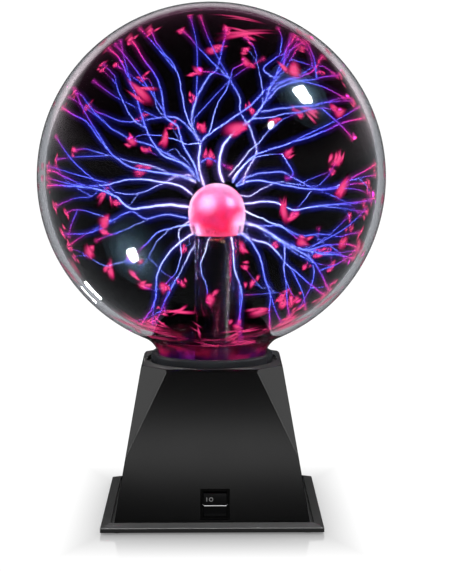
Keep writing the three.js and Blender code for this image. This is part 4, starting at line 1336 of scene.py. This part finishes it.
# The blue glow round two of them: ellipses of so many times the window's size, and their brightness,
# and how much wider one window's glow is.
GLOW_RINGS = ((1.7, 7.0), (2.3, 4.5), (3.2, 2.6), (4.4, 1.6))
GLOW_SPREAD = {"window_high": 1.0, "window_low": 1.5}
PALE_BLUE = (0.45, 0.75, 1.0)
for name, way, distance, width, height, radiance, lean in WINDOWS:
    way = Vector(way).normalized()
    rim_way = way.cross(Vector((0, -1, 0))).normalized()
    upright = Matrix.Rotation(math.radians(lean), 3, way) @ rim_way
    softbox(name, globe_at + way * distance, (width, height), radiance, globe_at, on_globe, upright=upright)
    if name in GLOW_SPREAD:
        spread = GLOW_SPREAD[name]
        for ring, (size, faint) in enumerate(GLOW_RINGS):
            softbox(
                f"{name}_glow_{ring}",
                globe_at + way * (distance * (1.01 + 0.01 * ring)),
                (width * size * spread, height * size * spread),
                faint,
                globe_at,
                on_globe,
                PALE_BLUE,
                upright,
                "ELLIPSE",
            )

meshes = [o for o in bpy.context.scene.objects if o.type == "MESH"]
solid = [o for o in meshes if o is not table and o is not glass_pieces[0]]


def only_on(light_name, piece_name):
    return receivers(f"lit_by_{light_name}", [o for o in solid if o.name == piece_name])


on_base = receivers("lit_by_softboxes", solid)
on_housing = only_on("housing_lights", "housing_shell")
on_plinth = only_on("overhead", "plinth_tray")
on_rocker = only_on("ridge_light", "rocker_cap")
on_tube = only_on("slits", "stem_tube")
on_column = only_on("rib_light", "ribbed_column")
on_table = receivers("lit_by_backdrop", [table])
base_at, stem_at, ground = (0, 0, 0.05), (STEM_X * MM, 0, 0.12), (0, 0, 0)
# Softboxes: name, place, (width, height), brightness, what it faces, and what it lights.
SOFTBOXES = (
    ("side_-1", (-1.6, 0.1, 0.73), (1.0, 1.0), 1.15, base_at, on_base),
    ("side_1", (1.6, 0.1, 0.73), (1.0, 1.0), 1.15, base_at, on_base),
    ("front_strip", (0, -2.5, 0.35), (1.8, 0.095), 1.55, base_at, on_base),
    ("front_top", (0, -1.2, 1.8), (1.6, 0.5), 0.6, base_at, on_base),
    ("back_top", (0, 1.3, 1.75), (1.6, 0.7), 0.3, base_at, on_base),
    ("back_strip", (0, 2.5, 0.35), (1.8, 0.095), 1.1, base_at, on_housing),
    ("overhead", (0, -0.5, 1.8), (1.4, 0.8), 27.0, base_at, on_plinth),
    ("edge_-1", (-1.59, -1.65, 1.05), (0.5, 0.5), 8, base_at, on_housing),
    ("edge_1", (1.59, -1.65, 1.05), (0.5, 0.5), 8, base_at, on_housing),
    ("ridge_light", (0, -2.5, -0.64), (1.8, 0.4), 40, base_at, on_rocker),
    ("stem_slit_-1", (-0.32, 0.385, 0.1), (0.03, 0.4), 70, stem_at, on_tube),
    ("stem_slit_1", (0.32, 0.385, 0.1), (0.03, 0.4), 70, stem_at, on_tube),
    ("rib_light", (0.49, 0.29, 0.33), (0.3, 0.3), 1300, stem_at, on_column),
    ("backdrop", (0, 3.0, 0.6), (7, 2.4), 1.0, ground, on_table),
)
for row in SOFTBOXES:
    lamp = softbox(*row)
    if lamp.name == "ridge_light":
        # it shines from below the table, so only the rocker itself may shade it
        lamp.light_linking.blocker_collection = on_rocker

camera_data = bpy.data.cameras.new("camera")
camera_data.lens = 108.58
camera_data.clip_start, camera_data.clip_end = 0.05, 50
camera = bpy.data.objects.new("camera", camera_data)
bpy.context.scene.collection.objects.link(camera)
camera.location = (0, -0.991, 0.2527)
LOOKS_DOWN, LOOKS_RIGHT = math.radians(6.99), math.radians(0.845)
camera.rotation_euler = (math.pi / 2 - LOOKS_DOWN, 0, -LOOKS_RIGHT)
bpy.context.scene.camera = camera

scene = bpy.context.scene
scene.view_settings.view_transform = "Standard"
scene.cycles.max_bounces = 16
scene.cycles.transmission_bounces = 16
scene.cycles.transparent_max_bounces = 160
scene.cycles.caustics_reflective = False
scene.cycles.caustics_refractive = False
scene.cycles.sample_clamp_indirect = 0.0
